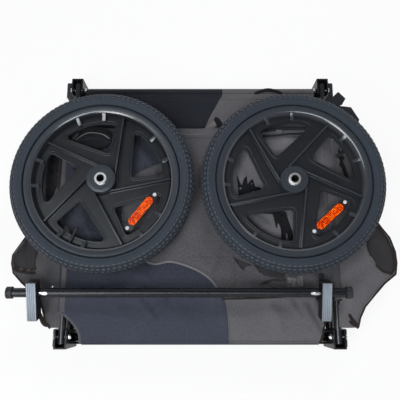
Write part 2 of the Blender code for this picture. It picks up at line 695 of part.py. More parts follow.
def make_far_cover(hinge):
    """The far wall's cloth, smooth where it shows past the near wall's top."""
    top, hem = FAR_TOP_Y, HINGE_Y - 0.006
    edge = FAR_COVER_X
    outline = [(-edge, hem), (-edge, top), (edge, top), (edge, hem)]
    whole = cloth_mesh("far_cover", outline, lambda x, y: FAR_COVER_Z, FAR_CLOTH, FAR_CLOTH_STEP)
    seam = through([(0.052, hem + 0.010), (0.051, hem), (0.034, hem - 0.040), (0.011, hem - 0.089), (-0.050, top - 0.010)])
    for name, line, operation, finish in (
        ("far_cover_black", beside(seam, GAP / 2), "INTERSECT", BLACK_CLOTH),
        ("far_cover_grey", beside(seam, -GAP / 2), "DIFFERENCE", GREY_CLOTH),
    ):
        outline = [*line, (-edge - 0.05, line[-1][1]), (-edge - 0.05, line[0][1])]
        side = prism_mesh(name, outline, FAR_COVER_Z - 0.02, FAR_COVER_Z + 0.02)
        attach(put(name, combined(name, whole.copy(), side, operation), finish), hinge)
    bpy.data.meshes.remove(whole)


def make_straps(hinge):
    """Two ends of flat webbing from the far wall's right tube."""
    x = SIDE_RAIL_X + TUBE_R + GAP
    y = HINGE_Y - BRACKET_DEPTH / 2
    z = FAR_HINGE_Z
    tail = [(x, y - 0.001), (x, y - 0.022), (x + 0.036, y - 0.018), (x + 0.046, y - 0.002), (x + 0.030, y + 0.015)]
    tail += [(x + 0.014, y)]
    bow = [(x, y - 0.007), (x, y - 0.028), (x + 0.029, y - 0.040), (x + 0.052, y - 0.044), (x + 0.063, y - 0.058)]
    bow += [(x + 0.071, y - 0.065), (x + 0.075, y - 0.052), (x + 0.058, y - 0.022), (x + 0.034, y - 0.019)]
    for name, outline, low in (("strap_tail", tail, z + GAP), ("closing_strap", bow, z - STRAP_THICK)):
        shape = prism_mesh(name, rounded(outline, 0.002, 2), low, low + STRAP_THICK)
        attach(put(name, shape, WEBBING), hinge)


# Axle

def make_axle():
    place = Matrix.Translation((AXLE_X, AXLE_Y, AXLE_Z))
    axle = empty("axle_place", place)
    half = AXLE_HALF
    floor = half - SOCKET_DEEP
    tube = [(0, -floor), (AXLE_BORE_R, -floor), (AXLE_BORE_R, -half), (AXLE_R, -half)]
    tube += [(AXLE_R, half), (AXLE_BORE_R, half), (AXLE_BORE_R, floor), (0, floor)]
    along = place @ Matrix.Rotation(math.pi / 2, 4, "Y")
    rod = put("axle_tube", turned_mesh("axle_tube", tube, 20), BLACK_PAINT, along)
    smooth_shaded(rod)
    attach(rod, axle)
    bore = AXLE_R + GAP
    ring = [(bore, 0), (COLLAR_R - 0.001, 0), (COLLAR_R, 0.001), (COLLAR_R, COLLAR_LONG), (bore, COLLAR_LONG)]
    for name, side in (("left_axle_collar", -1), ("right_axle_collar", 1)):
        end = Matrix.Translation((side * half, 0, 0)) @ Matrix.Rotation(-side * math.pi / 2, 4, "Y")
        collar = put(name, turned_mesh(name, ring, 20), BLACK_PAINT, place @ end)
        smooth_shaded(collar)
        attach(collar, axle)
    for name, side in (("left_axle_block", -1), ("right_axle_block", 1)):
        shift = Matrix.Translation((side * BLOCK_APART / 2, 0, 0)) @ Matrix.Rotation(BLOCK_LEAN, 4, "X")
        block = put(name, block_mesh(name), ALUMINIUM, place @ shift)
        attach(block, axle)


def block_mesh(name):
    """A grooved aluminium extrusion with the axle's bore across it, its origin on the bore."""
    half, pitch = BLOCK_WIDE / 2, BLOCK_WIDE / (GROOVES + 1)
    top, bottom = BLOCK_ABOVE, BLOCK_ABOVE - BLOCK_TALL
    section = [(-half, bottom), (half, bottom), (half, top)]
    for k in range(GROOVES, 0, -1):
        x = -half + pitch * k
        section += [(x + pitch * 0.2, top), (x, top - GROOVE_DEEP), (x - pitch * 0.2, top)]
    section += [(-half, top)]
    body = prism_mesh(name, section, 0, BLOCK_LONG)
    stand = Matrix.Translation((0, BLOCK_BACK, 0)) @ Matrix.Rotation(math.pi / 2, 4, "X")
    bore = rod_mesh(name, AXLE_R + GAP, 3 * BLOCK_WIDE, (0, 0, 0), "X", 20)
    return combined(name, moved(body, stand), bore, "DIFFERENCE")


# Wheels, built about their own axis with the outer face up

def window_outline(turn):
    """A rounded three-cornered window between two arms."""
    near_turn, far_turn = WINDOW_TURNS
    rim_side = [polar(WINDOW_OUT_R, turn + near_turn + (far_turn - near_turn) * k / 4) for k in range(5)]
    return rounded([polar(WINDOW_HUB_R, turn + WINDOW_HUB_TURN), *rim_side], WINDOW_FILLET)


def rim_mesh():
    """The five-arm rim: channel, web, hub boss, windows, ribs, fins and valve hole."""
    well_half = RIM_HALF - 0.0060
    profile = [
        (RIM_R, RIM_HALF - 0.0015), (RIM_R, RIM_HALF - 0.0055), (BEAD_R, well_half), (WELL_R, 0.0060),
        (WELL_R, -0.0060), (BEAD_R, -well_half), (RIM_R, -RIM_HALF + 0.0055), (RIM_R, -RIM_HALF + 0.0015),
        (FLANGE_IN_R, -RIM_HALF), (WEB_OUT_R, WEB_BOTTOM), (HUB_R + 0.0005, WEB_BOTTOM), (HUB_R - 0.0005, -HUB_IN),
        (BEARING_R + GAP, -HUB_IN), (BEARING_R + GAP, HUB_OUT), (HUB_R - 0.0005, HUB_OUT), (HUB_R + 0.0005, WEB_TOP),
        (WEB_OUT_R, WEB_TOP), (FLANGE_IN_R, RIM_HALF),
    ]
    body = turned_mesh("rim", profile, WHEEL_STEPS)
    step = 360 / ARMS
    windows = [prism_mesh("window", window_outline(step * k), -0.03, 0.03) for k in range(ARMS)]
    body = combined("rim", body, joined("windows", windows), "DIFFERENCE")
    embed = WEB_OUT_R + 0.0020
    bars = []
    for k in range(ARMS):
        end = step * k
        rib_angle = end + math.degrees(math.asin(RIB_OFFSET / embed))
        rib_long = math.sqrt(embed**2 - RIB_OFFSET**2)
        rib = box_mesh("rib", (rib_long, RIB_WIDTH, RIB_TOP - RIB_BOTTOM), (rib_long / 2, -RIB_OFFSET, (RIB_TOP + RIB_BOTTOM) / 2))
        bars.append(moved(rib, Matrix.Rotation(math.radians(rib_angle), 4, "Z")))
        for turn in FIN_TURNS:
            size = (embed - FIN_IN_R, FIN_WIDTH, FIN_TOP - RIB_BOTTOM)
            fin = box_mesh("fin", size, ((embed + FIN_IN_R) / 2, 0, (FIN_TOP + RIB_BOTTOM) / 2))
            bars.append(moved(fin, Matrix.Rotation(math.radians(end + turn), 4, "Z")))
    body = combined("rim", body, joined("bars", bars), "UNION")
    hole = rod_mesh("hole", VALVE_R + PIN_PLAY, 0.030, (WELL_R, 0, VALVE_Z), "X", 12)
    return combined("rim", body, moved(hole, Matrix.Rotation(math.radians(step * 3 + VALVE_TURN), 4, "Z")), "DIFFERENCE")


def tyre_mesh():
    """The tyre with its tube, its beads between the rim's flanges."""
    bead = RIM_HALF - 0.0060 - GAP
    side_r = (BEAD_R + TYRE_R) / 2
    profile = [
        (BEAD_R + 0.0010, bead - 0.0005), (RIM_R + 0.0012, RIM_HALF - 0.0062), (side_r, TYRE_HALF),
        (TYRE_R - 0.0065, TYRE_HALF - 0.0070), (TYRE_R, 0), (TYRE_R - 0.0065, -TYRE_HALF + 0.0070),
        (side_r, -TYRE_HALF), (RIM_R + 0.0012, -RIM_HALF + 0.0062), (BEAD_R + 0.0010, -bead + 0.0005),
    ]
    return turned_mesh("tyre", profile, WHEEL_STEPS)


def sleeve_mesh():
    low = -HUB_IN - GAP
    high = HUB_OUT + GAP
    profile = [
        (SLEEVE_R, low), (SLEEVE_FLANGE_R, low), (SLEEVE_FLANGE_R, low - SLEEVE_FLANGE_TALL),
        (AXLE_BORE_R, low - SLEEVE_FLANGE_TALL), (AXLE_BORE_R, high + SLEEVE_FLANGE_TALL),
        (SLEEVE_FLANGE_R, high + SLEEVE_FLANGE_TALL), (SLEEVE_FLANGE_R, high), (SLEEVE_R, high),
    ]
    return turned_mesh("sleeve", profile, 18)


def bearing_mesh(name, low):
    high = low + BEARING_TALL
    profile = [(SLEEVE_R + GAP, low), (BEARING_R, low), (BEARING_R, high), (SLEEVE_R + GAP, high)]
    return turned_mesh(name, profile, 18)


def valve_mesh():
    """A valve stem through the rim's inner wall, with its cap towards the hub."""
    cap = VALVE_CAP_LONG
    profile = [(0, VALVE_TIP_R), (VALVE_CAP_R * 0.7, VALVE_TIP_R), (VALVE_CAP_R, VALVE_TIP_R + 0.0015)]
    profile += [(VALVE_CAP_R, VALVE_TIP_R + cap), (VALVE_R, VALVE_TIP_R + cap), (VALVE_R, WELL_R - 0.0005), (0, WELL_R - 0.0005)]
    stem = turned_mesh("valve", profile, 12)
    lay = Matrix.Rotation(math.radians(360 / ARMS * 3 + VALVE_TURN), 4, "Z") @ Matrix.Translation((0, 0, VALVE_Z))
    return moved(stem, lay @ Matrix.Rotation(math.pi / 2, 4, "Y"))


def capsule(long, wide, steps=5):
    """A rounded oblong outline, centred, with its long side along Y."""
    straight = (long - wide) / 2
    return arc((0, straight), wide / 2, 0, 180, steps) + arc((0, -straight), wide / 2, 180, 360, steps)


def reflector_meshes():
    """The reflector's riveted base plate and its lens, standing on z = 0 with their long side along Y."""
    plate = prism_mesh("plate", capsule(REFLECTOR_LONG, REFLECTOR_WIDE), GAP, REFLECTOR_BASE)
    low = REFLECTOR_BASE - 0.0005
    head = [(0, low), (RIVET_R, low), (RIVET_R, low + RIVET_TALL), (RIVET_R * 0.6, low + RIVET_TALL * 1.4)]
    head += [(0, low + RIVET_TALL * 1.4)]
    heads = [
        moved(turned_mesh("rivet", head, 14), Matrix.Translation((0, side * RIVET_APART / 2, 0))) for side in (-1, 1)
    ]
    plate = combined("plate", plate, joined("rivets", heads), "UNION")
    low = REFLECTOR_BASE + GAP
    lens = prism_mesh("lens", capsule(LENS_LONG, LENS_WIDE), low, low + LENS_TALL)
    bm = bmesh.new()
    bm.from_mesh(lens)
    top = [e for e in bm.edges if all(abs(v.co.z - low - LENS_TALL) < 1e-6 for v in e.verts) and e.is_manifold]
    rim = [e for e in top if abs(e.link_faces[0].normal.dot(e.link_faces[1].normal)) < 0.5]
    bmesh.ops.bevel(bm, geom=rim, offset=0.0015, segments=2, profile=0.5, affect="EDGES")
    bm.to_mesh(lens)
    bm.free()
    return plate, lens


def make_wheels():
    plate, lens = reflector_meshes()
    shared = {
        "hub_sleeve": (sleeve_mesh(), ALUMINIUM),
        "inner_bearing": (bearing_mesh("inner_bearing", -HUB_IN + 0.001), CHROME),
        "outer_bearing": (bearing_mesh("outer_bearing", HUB_OUT - 0.001 - BEARING_TALL), CHROME),
        "rim": (rim_mesh(), BLACK_PLASTIC), "tyre": (tyre_mesh(), RUBBER), "valve": (valve_mesh(), BLACK_PLASTIC),
    }
    fittings = {"reflector_base": (plate, BLACK_PLASTIC), "reflector_lens": (lens, AMBER)}
    for side, x, turn, flipped in (
        ("left", LEFT_WHEEL_X, LEFT_WHEEL_TURN, False), ("right", RIGHT_WHEEL_X, RIGHT_WHEEL_TURN, True),
    ):
        centre = Matrix.Translation((x, WHEEL_Y, WHEEL_Z)) @ Matrix.Rotation(math.radians(turn), 4, "Z")
        place = centre @ Matrix.Rotation(math.pi, 4, "X") if flipped else centre
        hub = empty(side + "_wheel_place", place)
        # The reflector is on the face that is up, in the window that faces the trailer's near right
        web = -WEB_BOTTOM if flipped else WEB_TOP
        at = math.radians((REFLECTOR_TURN - 360 / ARMS) * (-1 if flipped else 1))
        seat = centre @ Matrix.Rotation(at, 4, "Z") @ Matrix.Translation((REFLECTOR_AT_R, 0, web))
        for pieces, where in ((shared, place), (fittings, seat)):
            for name, (mesh, finish) in pieces.items():
                piece = put(f"{side}_{name}", mesh, finish, where)
                smooth_shaded(piece, 30)
                attach(piece, hub)


make_rails()
make_floor()
make_sills()
for corner_name, corner_x, corner_y, corner_z in (
    ("near_left", -1, -1, NEAR_HINGE_Z), ("near_right", 1, -1, NEAR_HINGE_Z),
    ("far_left", -1, 1, FAR_HINGE_Z), ("far_right", 1, 1, FAR_HINGE_Z),
):
    make_corner(corner_name, corner_x, corner_y, corner_z)
make_hinge_hardware()
make_roof_bars()

near_hinge = empty("near_side_hinge", Matrix.Translation((0, -HINGE_Y, NEAR_HINGE_Z)))
far_hinge = empty("far_side_hinge", Matrix.Translation((0, HINGE_Y, FAR_HINGE_Z)))
left_flap_hinge = empty("left_flap_hinge", Matrix.Translation((-SIDE_RAIL_X, 0, NEAR_HINGE_Z)), near_hinge)
right_flap_hinge = empty("right_flap_hinge", Matrix.Translation((SIDE_RAIL_X, 0, NEAR_HINGE_Z)), near_hinge)
make_frame("near_frame", -1, NEAR_HINGE_Z, 0, False, near_hinge)
make_frame("far_frame", 1, FAR_HINGE_Z, 2 * TUBE_R + FRAME_PASS, True, far_hinge)
make_near_cover(near_hinge)
make_far_cover(far_hinge)
make_flap("left_end_flap", left_flap_outline(), left_window_outline(), left_flap_hinge)
make_flap("right_end_flap", right_flap_outline(), right_window_outline(), right_flap_hinge)
make_straps(far_hinge)
make_axle()
make_wheels()
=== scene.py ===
"""A dog bike trailer folded flat, with its two wheels and its axle laid on top."""
import math

import bmesh
import bpy
from mathutils import Matrix, Vector, noise


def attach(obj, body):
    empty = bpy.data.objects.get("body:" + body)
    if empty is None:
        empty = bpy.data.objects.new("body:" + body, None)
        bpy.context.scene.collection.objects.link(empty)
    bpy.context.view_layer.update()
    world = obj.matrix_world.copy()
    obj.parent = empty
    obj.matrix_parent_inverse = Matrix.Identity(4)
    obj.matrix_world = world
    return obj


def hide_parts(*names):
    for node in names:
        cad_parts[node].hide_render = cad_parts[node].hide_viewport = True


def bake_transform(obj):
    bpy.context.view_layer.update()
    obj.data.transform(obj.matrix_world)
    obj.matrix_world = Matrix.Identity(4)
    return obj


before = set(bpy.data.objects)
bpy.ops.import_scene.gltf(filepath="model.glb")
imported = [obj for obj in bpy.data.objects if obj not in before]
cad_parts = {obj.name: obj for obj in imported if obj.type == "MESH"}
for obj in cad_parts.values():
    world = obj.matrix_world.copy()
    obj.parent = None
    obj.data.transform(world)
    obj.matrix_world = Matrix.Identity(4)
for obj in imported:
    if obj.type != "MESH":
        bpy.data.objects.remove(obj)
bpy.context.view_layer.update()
scene = bpy.context.scene

# Camera: from above, a little towards the near side, as in the photograph
eye = bpy.data.objects.new("photo_view", bpy.data.cameras.new("photo_view"))
scene.collection.objects.link(eye)
eye.data.sensor_width, eye.data.lens = 36, 45.63  # millimetres
eye.location = (0, -0.218, 1.15)
eye.rotation_euler = (math.radians(12), 0, 0)
scene.camera = eye


# Finishes

class Value:
    """A node's output, which takes part in sums as a number does."""

    def __init__(self, finish, socket):
        self.finish, self.socket = finish, socket

    def sum(self, operation, *parts):
        return self.finish.node("ShaderNodeMath", {"operation": operation}, dict(enumerate(parts)))

    def __add__(self, other):
        return self.sum("ADD", self, other)

    def __radd__(self, other):
        return self.sum("ADD", other, self)

    def __rsub__(self, other):
        return self.sum("SUBTRACT", other, self)

    def __mul__(self, other):
        return self.sum("MULTIPLY", self, other)

    def ease(self, low, high):
        """0 below low, 1 above high, and smooth between them."""
        settings = {"interpolation_type": "SMOOTHSTEP"}
        return self.finish.node("ShaderNodeMapRange", settings, {0: self, 1: low, 2: high})


class Finish:
    """A material and its nodes."""

    def __init__(self, name, **shader):
        self.material = bpy.data.materials.new(name)
        self.material.use_nodes = True
        self.tree = self.material.node_tree
        self.shader = self.tree.nodes["Principled BSDF"]
        for socket, value in shader.items():
            self.shader.inputs[socket.replace("_", " ")].default_value = value

    def node(self, kind, settings=None, sockets=None, out=0):
        """A node of a kind, with its settings first and then its sockets' values or links."""
        made = self.tree.nodes.new(kind)
        for name, value in (settings or {}).items():
            if name == "stops":
                ramp = made.color_ramp
                for k, (place, colour) in enumerate(value):
                    stop = ramp.elements[k] if k < 2 else ramp.elements.new(place)
                    stop.position, stop.color = place, (*colour, 1)
            else:
                setattr(made, name, value)
        for key, value in (sockets or {}).items():
            self.feed(made.inputs[key], value)
        return Value(self, made.outputs[out])

    def feed(self, socket, value):
        if isinstance(value, Value):
            self.tree.links.new(value.socket, socket)
        else:
            socket.default_value = value

    def place(self, scale=1.0, turn=(0, 0, 0), cut=False):
        """Coordinates in metres: of the object, or of the cloth as it was cut."""
        if cut:
            at = self.node("ShaderNodeUVMap", {"uv_map": "cut"})
        else:
            at = self.node("ShaderNodeTexCoord", out=3)
        scale = scale if isinstance(scale, tuple) else (scale,) * 3
        return self.node("ShaderNodeMapping", {}, {"Vector": at, "Scale": scale, "Rotation": turn})

    def noise(self, at, scale, detail=3.0, rough=0.55):
        return self.node("ShaderNodeTexNoise", {}, {"Vector": at, "Scale": scale, "Detail": detail,
            "Roughness": rough})

    def bands(self, at, scale, along):
        sockets = {"Vector": at, "Scale": scale, "Detail": 1.0}
        return self.node("ShaderNodeTexWave", {"bands_direction": along}, sockets, out=1)

    def colours(self, share, first, second):
        first, second = ((*c, 1) if isinstance(c, tuple) else c for c in (first, second))
        return self.node("ShaderNodeMix", {"data_type": "RGBA"}, {0: share, 6: first, 7: second}, out=2)

    def bump(self, height, distance, strength=1.0, under=None):
        sockets = {"Height": height, "Distance": distance, "Strength": strength}
        if under is not None:
            sockets["Normal"] = under
        return self.node("ShaderNodeBump", {}, sockets)

    def wear(self, **values):
        for socket, value in values.items():
            self.feed(self.shader.inputs[socket.replace("_", " ")], value)
        return self.material


def shade_of(colour, share):
    return tuple(c * share for c in colour)


THREADS, DUST = 1 / 0.0009 / 3.14, (0.3, 0.28, 0.26)


def woven_cloth(name, colour, sheen=0.1, worn=0.1, painted_shade_and_tone=None, shine=0.16):
    """Coated polyester: crossing threads, soft creases and a little dust, and, where asked, painted shade above a
    seam and painted light on the cloth seen through the right wheel's windows.
    """
    made = Finish(name, Sheen_Weight=sheen, Sheen_Roughness=0.45, Specular_IOR_Level=shine)
    at = made.place(cut=True)
    warp, weft = made.bands(at, THREADS, "X"), made.bands(at, THREADS, "Y")
    weave = warp * 0.5 + weft * 0.5
    heather = made.noise(made.place((900, 140, 1), cut=True), 1.0, 4.0)
    heather_across = made.noise(made.place((140, 900, 1), cut=True), 1.0, 4.0)
    patch = made.noise(at, 9.0, 4.0, 0.6)
    slack = made.noise(at, 34.0, 3.0, 0.5)
    tone = made.colours(weave * 0.35 + heather * 0.4 + heather_across * 0.25, shade_of(colour, 0.72),
        shade_of(colour, 1.28))
    tone = made.colours(patch.ease(0.35, 0.75) * 0.3, tone, shade_of(colour, 1.35))
    tone = made.colours(patch.ease(0.5, 0.85) * worn, tone, DUST)
    # Painted shade: darker above a seam, where the wheels shade the wall; on the grey wall partly the panel's own
    # tone. Painted light: paler where the right wheel's windows show the cloth.
    if painted_shade_and_tone:
        across, along = (made.node("ShaderNodeSeparateXYZ", {}, {0: at}, out=k) for k in (0, 1))
        window_painted_light = across.ease(0.03, 0.09) * along.ease(-0.1, -0.05)
        tone = made.colours(along.ease(*painted_shade_and_tone[:2]) * (1 - window_painted_light) * painted_shade_and_tone[2], tone, (0, 0, 0))
        tone = made.colours(window_painted_light * 0.5, tone, shade_of(colour, 1.7))
    mottle = made.noise(at, 240.0, 3.0, 0.6)
    tone = made.colours(mottle.ease(0.4, 0.62) * 0.22, tone, shade_of(colour, 1.5))
    tone = made.colours(mottle.ease(0.52, 0.3) * 0.16, tone, shade_of(colour, 0.4))
    creased = made.bump(slack, 0.003, 0.7)
    normal = made.bump(weave + heather * 0.6, 0.00022, 0.5, creased)
    return made.wear(Base_Color=tone, Roughness=0.82 + weave * 0.12, Normal=normal)


def mesh_cloth(name, colour):
    """Window netting: holes between thin threads."""
    made = Finish(name, Specular_IOR_Level=0.2)
    at = made.place(cut=True)
    warp, weft = made.bands(at, 240, "X"), made.bands(at, 240, "Y")
    threads = warp.sum("MAXIMUM", warp, weft)
    patch = made.noise(at, 14.0, 3.0)
    tone = made.colours(threads, shade_of(colour, 0.45), colour)
    tone = made.colours(patch.ease(0.4, 0.7) * 0.35, tone, shade_of(colour, 1.7))
    return made.wear(Base_Color=tone, Roughness=0.75 - threads * 0.2, Normal=made.bump(threads, 0.0003, 0.7))


def ribbed_tape(name, colour, scale=620):
    """Binding, piping and webbing: close ribs across, and lint."""
    made = Finish(name, Sheen_Weight=0.05, Specular_IOR_Level=0.2)
    at = made.place()
    ribs = made.bands(at, scale, "DIAGONAL")
    lint = made.noise(at, 260.0, 3.0)
    tone = made.colours(ribs * 0.5 + lint * 0.5, shade_of(colour, 0.65), shade_of(colour, 1.4))
    return made.wear(Base_Color=tone, Roughness=0.62 + lint * 0.2, Normal=made.bump(ribs, 0.0003, 0.6))


def moulded_plastic(name, colour, rough=0.46, grain=1400.0, worn=(0.11, 0.12, 0.14), raised=None, shine=0.42):
    """Moulded nylon: fine grain, scuffs and paler worn places, and, where asked, paler and bluer where it stands
    high, as painted reflection and some wear.
    """
    made = Finish(name, Specular_IOR_Level=shine)
    at = made.place()
    fine = made.noise(at, grain, 2.0)
    flow = made.noise(at, 26.0, 4.0, 0.6)
    scuff = made.noise(made.place((60, 900, 300), (0, 0, 0.7)), 1.0, 4.0, 0.7)
    marks = scuff.ease(0.62, 0.8) * flow.ease(0.4, 0.7)
    tone = made.colours(flow, shade_of(colour, 0.8), shade_of(colour, 1.22))
    tone = made.colours(marks * 0.45, tone, worn)
    # Paler and bluer above a height: painted reflection on the high faces, and some wear.
    if raised:
        height = made.node("ShaderNodeSeparateXYZ", {}, {0: made.node("ShaderNodeTexCoord", out=3)}, out=2)
        tone = made.colours(height.ease(*raised[:2]) * (0.75 + flow * 0.25), tone, raised[2])
    return made.wear(Base_Color=tone, Roughness=rough + flow * 0.12 + marks * 0.12,
        Normal=made.bump(fine, 0.00012, 0.5))


def tyre_rubber(name, colour):
    """Rubber with a dry bloom, pale grit and streaks, lug tops paler as wear and painted highlight, and lug sides
    near black as painted shade.
    """
    made = Finish(name, Specular_IOR_Level=0.35)
    at = made.place()
    bloom = made.noise(at, 18.0, 5.0, 0.62)
    grit = made.noise(at, 700.0, 3.0, 0.6)
    streak = made.noise(made.place((220, 220, 30)), 1.0, 3.0, 0.6)
    tone = made.colours(bloom, shade_of(colour, 0.78), shade_of(colour, 1.25))
    tone = made.colours(grit.ease(0.62, 0.76) * 0.25, tone, (0.16, 0.17, 0.19))
    tone = made.colours(streak.ease(0.6, 0.78) * 0.18, tone, (0.13, 0.14, 0.16))
    lug = made.node("ShaderNodeAttribute", {"attribute_name": "lug"}, out=2)
    # Lug tops paler: wear and painted highlight. Lug sides near black: painted shade.
    tone = made.colours(lug.ease(0, 1) * (0.55 + bloom * 0.6), tone, (0.066, 0.075, 0.092))
    tone = made.colours(lug.ease(0, -1) * 0.75, tone, (0.004, 0.004, 0.005))
    return made.wear(Base_Color=tone, Roughness=0.58 + bloom * 0.2, Normal=made.bump(grit, 0.0002, 0.45))


def gloss_paint(name, colour, coat=0.25, rough=0.2, shine=0.45):
    """Black powder paint on tube: a slight orange peel and a few pale chips."""
    made = Finish(name, Coat_Weight=coat, Coat_Roughness=0.1, Specular_IOR_Level=shine)
    at = made.place()
    peel = made.noise(at, 420.0, 2.0)
    dull = made.noise(at, 40.0, 4.0, 0.65)
    chips = made.noise(at, 160.0, 5.0, 0.75)
    chip = chips.ease(0.7, 0.74) * dull.ease(0.45, 0.6)
    tone = made.colours(dull, shade_of(colour, 0.8), shade_of(colour, 1.5))
    tone = made.colours(chip * 0.6, tone, (0.2, 0.2, 0.21))
    return made.wear(Base_Color=tone, Roughness=rough + dull * 0.14 + chip * 0.2,
        Normal=made.bump(peel, 0.00008, 0.4))


def plated_metal(name, colour, rough, brushed=0.0, along=(1, 1, 1)):
    """Chrome, or aluminium with drawn lines along one way."""
    made = Finish(name, Metallic=1.0)
    lines = made.noise(made.place(along), 1.0, 4.0, 0.7)
    dull = made.noise(made.place(), 90.0, 4.0, 0.6)
    tone = made.colours(dull, shade_of(colour, 0.78), colour)
    tone = made.colours(lines * brushed, tone, shade_of(colour, 0.55))
    return made.wear(Base_Color=tone, Roughness=rough + dull * 0.1 + lines * brushed * 0.2,
        Normal=made.bump(lines, 0.00006, 0.3 + brushed * 0.5))


def amber_lens():
    """Clear amber with moulded prisms; their glints are painted into its colour, and it glows a little as painted
    light.
    """
    made = Finish("amber_lens", Specular_IOR_Level=0.18, Emission_Strength=0.22)
    at = made.place(cut=True)
    ribs = made.bands(at, 84, "Y")
    cells = made.node("ShaderNodeTexVoronoi", {"feature": "F1"}, {"Vector": at, "Scale": 260.0})
    clouds = made.noise(at, 110.0, 3.0)
    tone = made.node("ShaderNodeValToRGB", {"stops": [(0.36, (0.12, 0.003, 0.0)), (0.56, (0.42, 0.014, 0.0)), (0.76,
        (0.8, 0.056, 0.0)), (0.9, (1.0, 0.32, 0.01))]}, {0: ribs * 0.35 + cells * 0.5 + clouds * 0.4})
    return made.wear(Base_Color=tone, Emission_Color=tone, Roughness=0.16 + clouds * 0.12,
        Normal=made.bump(ribs + cells * 0.5, 0.0005, 0.6))


def coated_board(name, colour):
    """A coated fibre board: flecks, scratches and dull patches."""
    made = Finish(name, Specular_IOR_Level=0.35)
    at = made.place()
    fleck = made.noise(at, 300.0, 5.0, 0.7)
    patch = made.noise(at, 7.0, 4.0, 0.6)
    scratch = made.noise(made.place((14, 800, 1), (0, 0, 0.5)), 1.0, 3.0)
    tone = made.colours(fleck, shade_of(colour, 0.7), shade_of(colour, 1.5))
    tone = made.colours(patch.ease(0.4, 0.7) * 0.3, tone, shade_of(colour, 2.2))
    tone = made.colours(scratch.ease(0.68, 0.74) * 0.35, tone, (0.14, 0.13, 0.12))
    return made.wear(Base_Color=tone, Roughness=0.5 + patch * 0.2, Normal=made.bump(fleck, 0.0002, 0.4))


# The black cloth's darker part above the axle is painted shade of the wheels.
BLACK_CLOTH = woven_cloth("blue_black_cloth", (0.044, 0.048, 0.066), painted_shade_and_tone=(-0.2, -0.12, 0.42))
FAR_CLOTH = woven_cloth("black_cloth", (0.015, 0.0165, 0.022), sheen=0.08, worn=0.03)
GREY_CLOTH = woven_cloth("warm_grey_cloth", (0.092, 0.087, 0.093))
# The left flap's copy of the grey cloth is darker, as painted shade.
FLAP_CLOTH = {"left": woven_cloth("shaded_grey_cloth", (0.07, 0.067, 0.072)),
              "right": woven_cloth("pale_grey_cloth", (0.112, 0.106, 0.114))}
# The grey wall's darker part above its panel seam is partly the panel's own tone and partly painted shade.
GREY_WALL = woven_cloth("warm_grey_wall_cloth", (0.102, 0.098, 0.106), painted_shade_and_tone=(-0.201, -0.1945, 0.3))
CRINKLED = woven_cloth("crinkled_lining", (0.15, 0.14, 0.14), worn=0.3)
LINING = woven_cloth("black_lining", (0.009, 0.009, 0.011), sheen=0.03, worn=0.02, shine=0.2)
NETTING = mesh_cloth("window_netting", (0.03, 0.028, 0.031))
BROWN_BINDING = ribbed_tape("brown_binding", (0.02, 0.014, 0.012))
GREY_PIPING = ribbed_tape("grey_piping", (0.085, 0.088, 0.1))
SATIN_PAINT = gloss_paint("satin_black_paint", (0.01, 0.01, 0.012), 0.0, 0.32, 0.25)
PALE_PIPING = ribbed_tape("pale_piping", (0.17, 0.165, 0.17))
BLACK_BINDING = ribbed_tape("black_binding", (0.018, 0.018, 0.021))
WEBBING = ribbed_tape("black_webbing", (0.022, 0.023, 0.027), 520)
THREAD = ribbed_tape("sewing_thread", (0.03, 0.03, 0.034), 2200)
# The rim's flange and hub top are paler and bluer than its recessed web: painted reflection and some wear.
RIM_PLASTIC = moulded_plastic("rim_nylon", (0.0105, 0.0115, 0.0145), 0.3,
    raised=(0.129, 0.14, (0.03, 0.035, 0.045)))
# The fins and lips are the rim's nylon made lighter and bluer, as a painted highlight, and glossier.
GUSSET_PLASTIC = moulded_plastic("gusset_nylon", (0.026, 0.031, 0.039), 0.1, shine=1.0)
AXLE_PAINT = gloss_paint("axle_paint", (0.0065, 0.007, 0.0095), 0.0, 0.2, 0.3)
FOOT_PLASTIC = moulded_plastic("corner_plastic", (0.016, 0.017, 0.019), 0.5)
BASE_PLASTIC = moulded_plastic("reflector_base_plastic", (0.01, 0.01, 0.012), 0.4)
WHITE_PLASTIC = moulded_plastic("white_rivet", (0.56, 0.57, 0.58), 0.45, 900, (0.42, 0.42, 0.43))
RUBBER = tyre_rubber("tyre_rubber", (0.024, 0.031, 0.042))
BLACK_PAINT = gloss_paint("gloss_black_paint", (0.012, 0.012, 0.014))
CHROME = plated_metal("chrome", (0.8, 0.8, 0.81), 0.1)
ALUMINIUM = plated_metal("brushed_aluminium", (0.33, 0.37, 0.42), 0.5, 0.45, (1500, 30, 400))
SLEEVE_METAL = plated_metal("turned_aluminium", (0.8, 0.8, 0.79), 0.38, 0.3, (700, 700, 40))
AMBER = amber_lens()
FLOOR_BOARD = coated_board("coated_floor_board", (0.03, 0.028, 0.026))


# Ways of making pieces

def piece(name, form, finish, slot, rides=None, stands_for=(), smooth=32, blend=None):
    """A finished piece from a bmesh: its material, shading, body and the nodes that it stands for."""
    mesh = bpy.data.meshes.new(name)
    form.to_mesh(mesh)
    form.free()
    mesh.materials.append(finish)
    mesh.shade_smooth()
    mesh.set_sharp_from_angle(angle=math.radians(smooth))
    made = bpy.data.objects.new(name, mesh)
    scene.collection.objects.link(made)
    if rides:
        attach(made, rides)
    if stands_for:
        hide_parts(*stands_for)
    if blend:
        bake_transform(made)
    return made


def lay_out(form):
    """Keeps the flat places of a form's points, as the cut that the finishes follow."""
    cut = form.loops.layers.uv.new("cut")
    for face in form.faces:
        for loop in face.loops:
            loop[cut].uv = loop.vert.co.xy


def thicken(made, thick):
    shell = made.modifiers.new("cloth", "SOLIDIFY")
    shell.thickness, shell.offset = thick, 1


def span(outline):
    """An outline's width and depth, and its middle."""
    xs, ys = [p[0] for p in outline], [p[1] for p in outline]
    return max(xs) - min(xs), max(ys) - min(ys), (max(xs) + min(xs)) / 2, (max(ys) + min(ys)) / 2


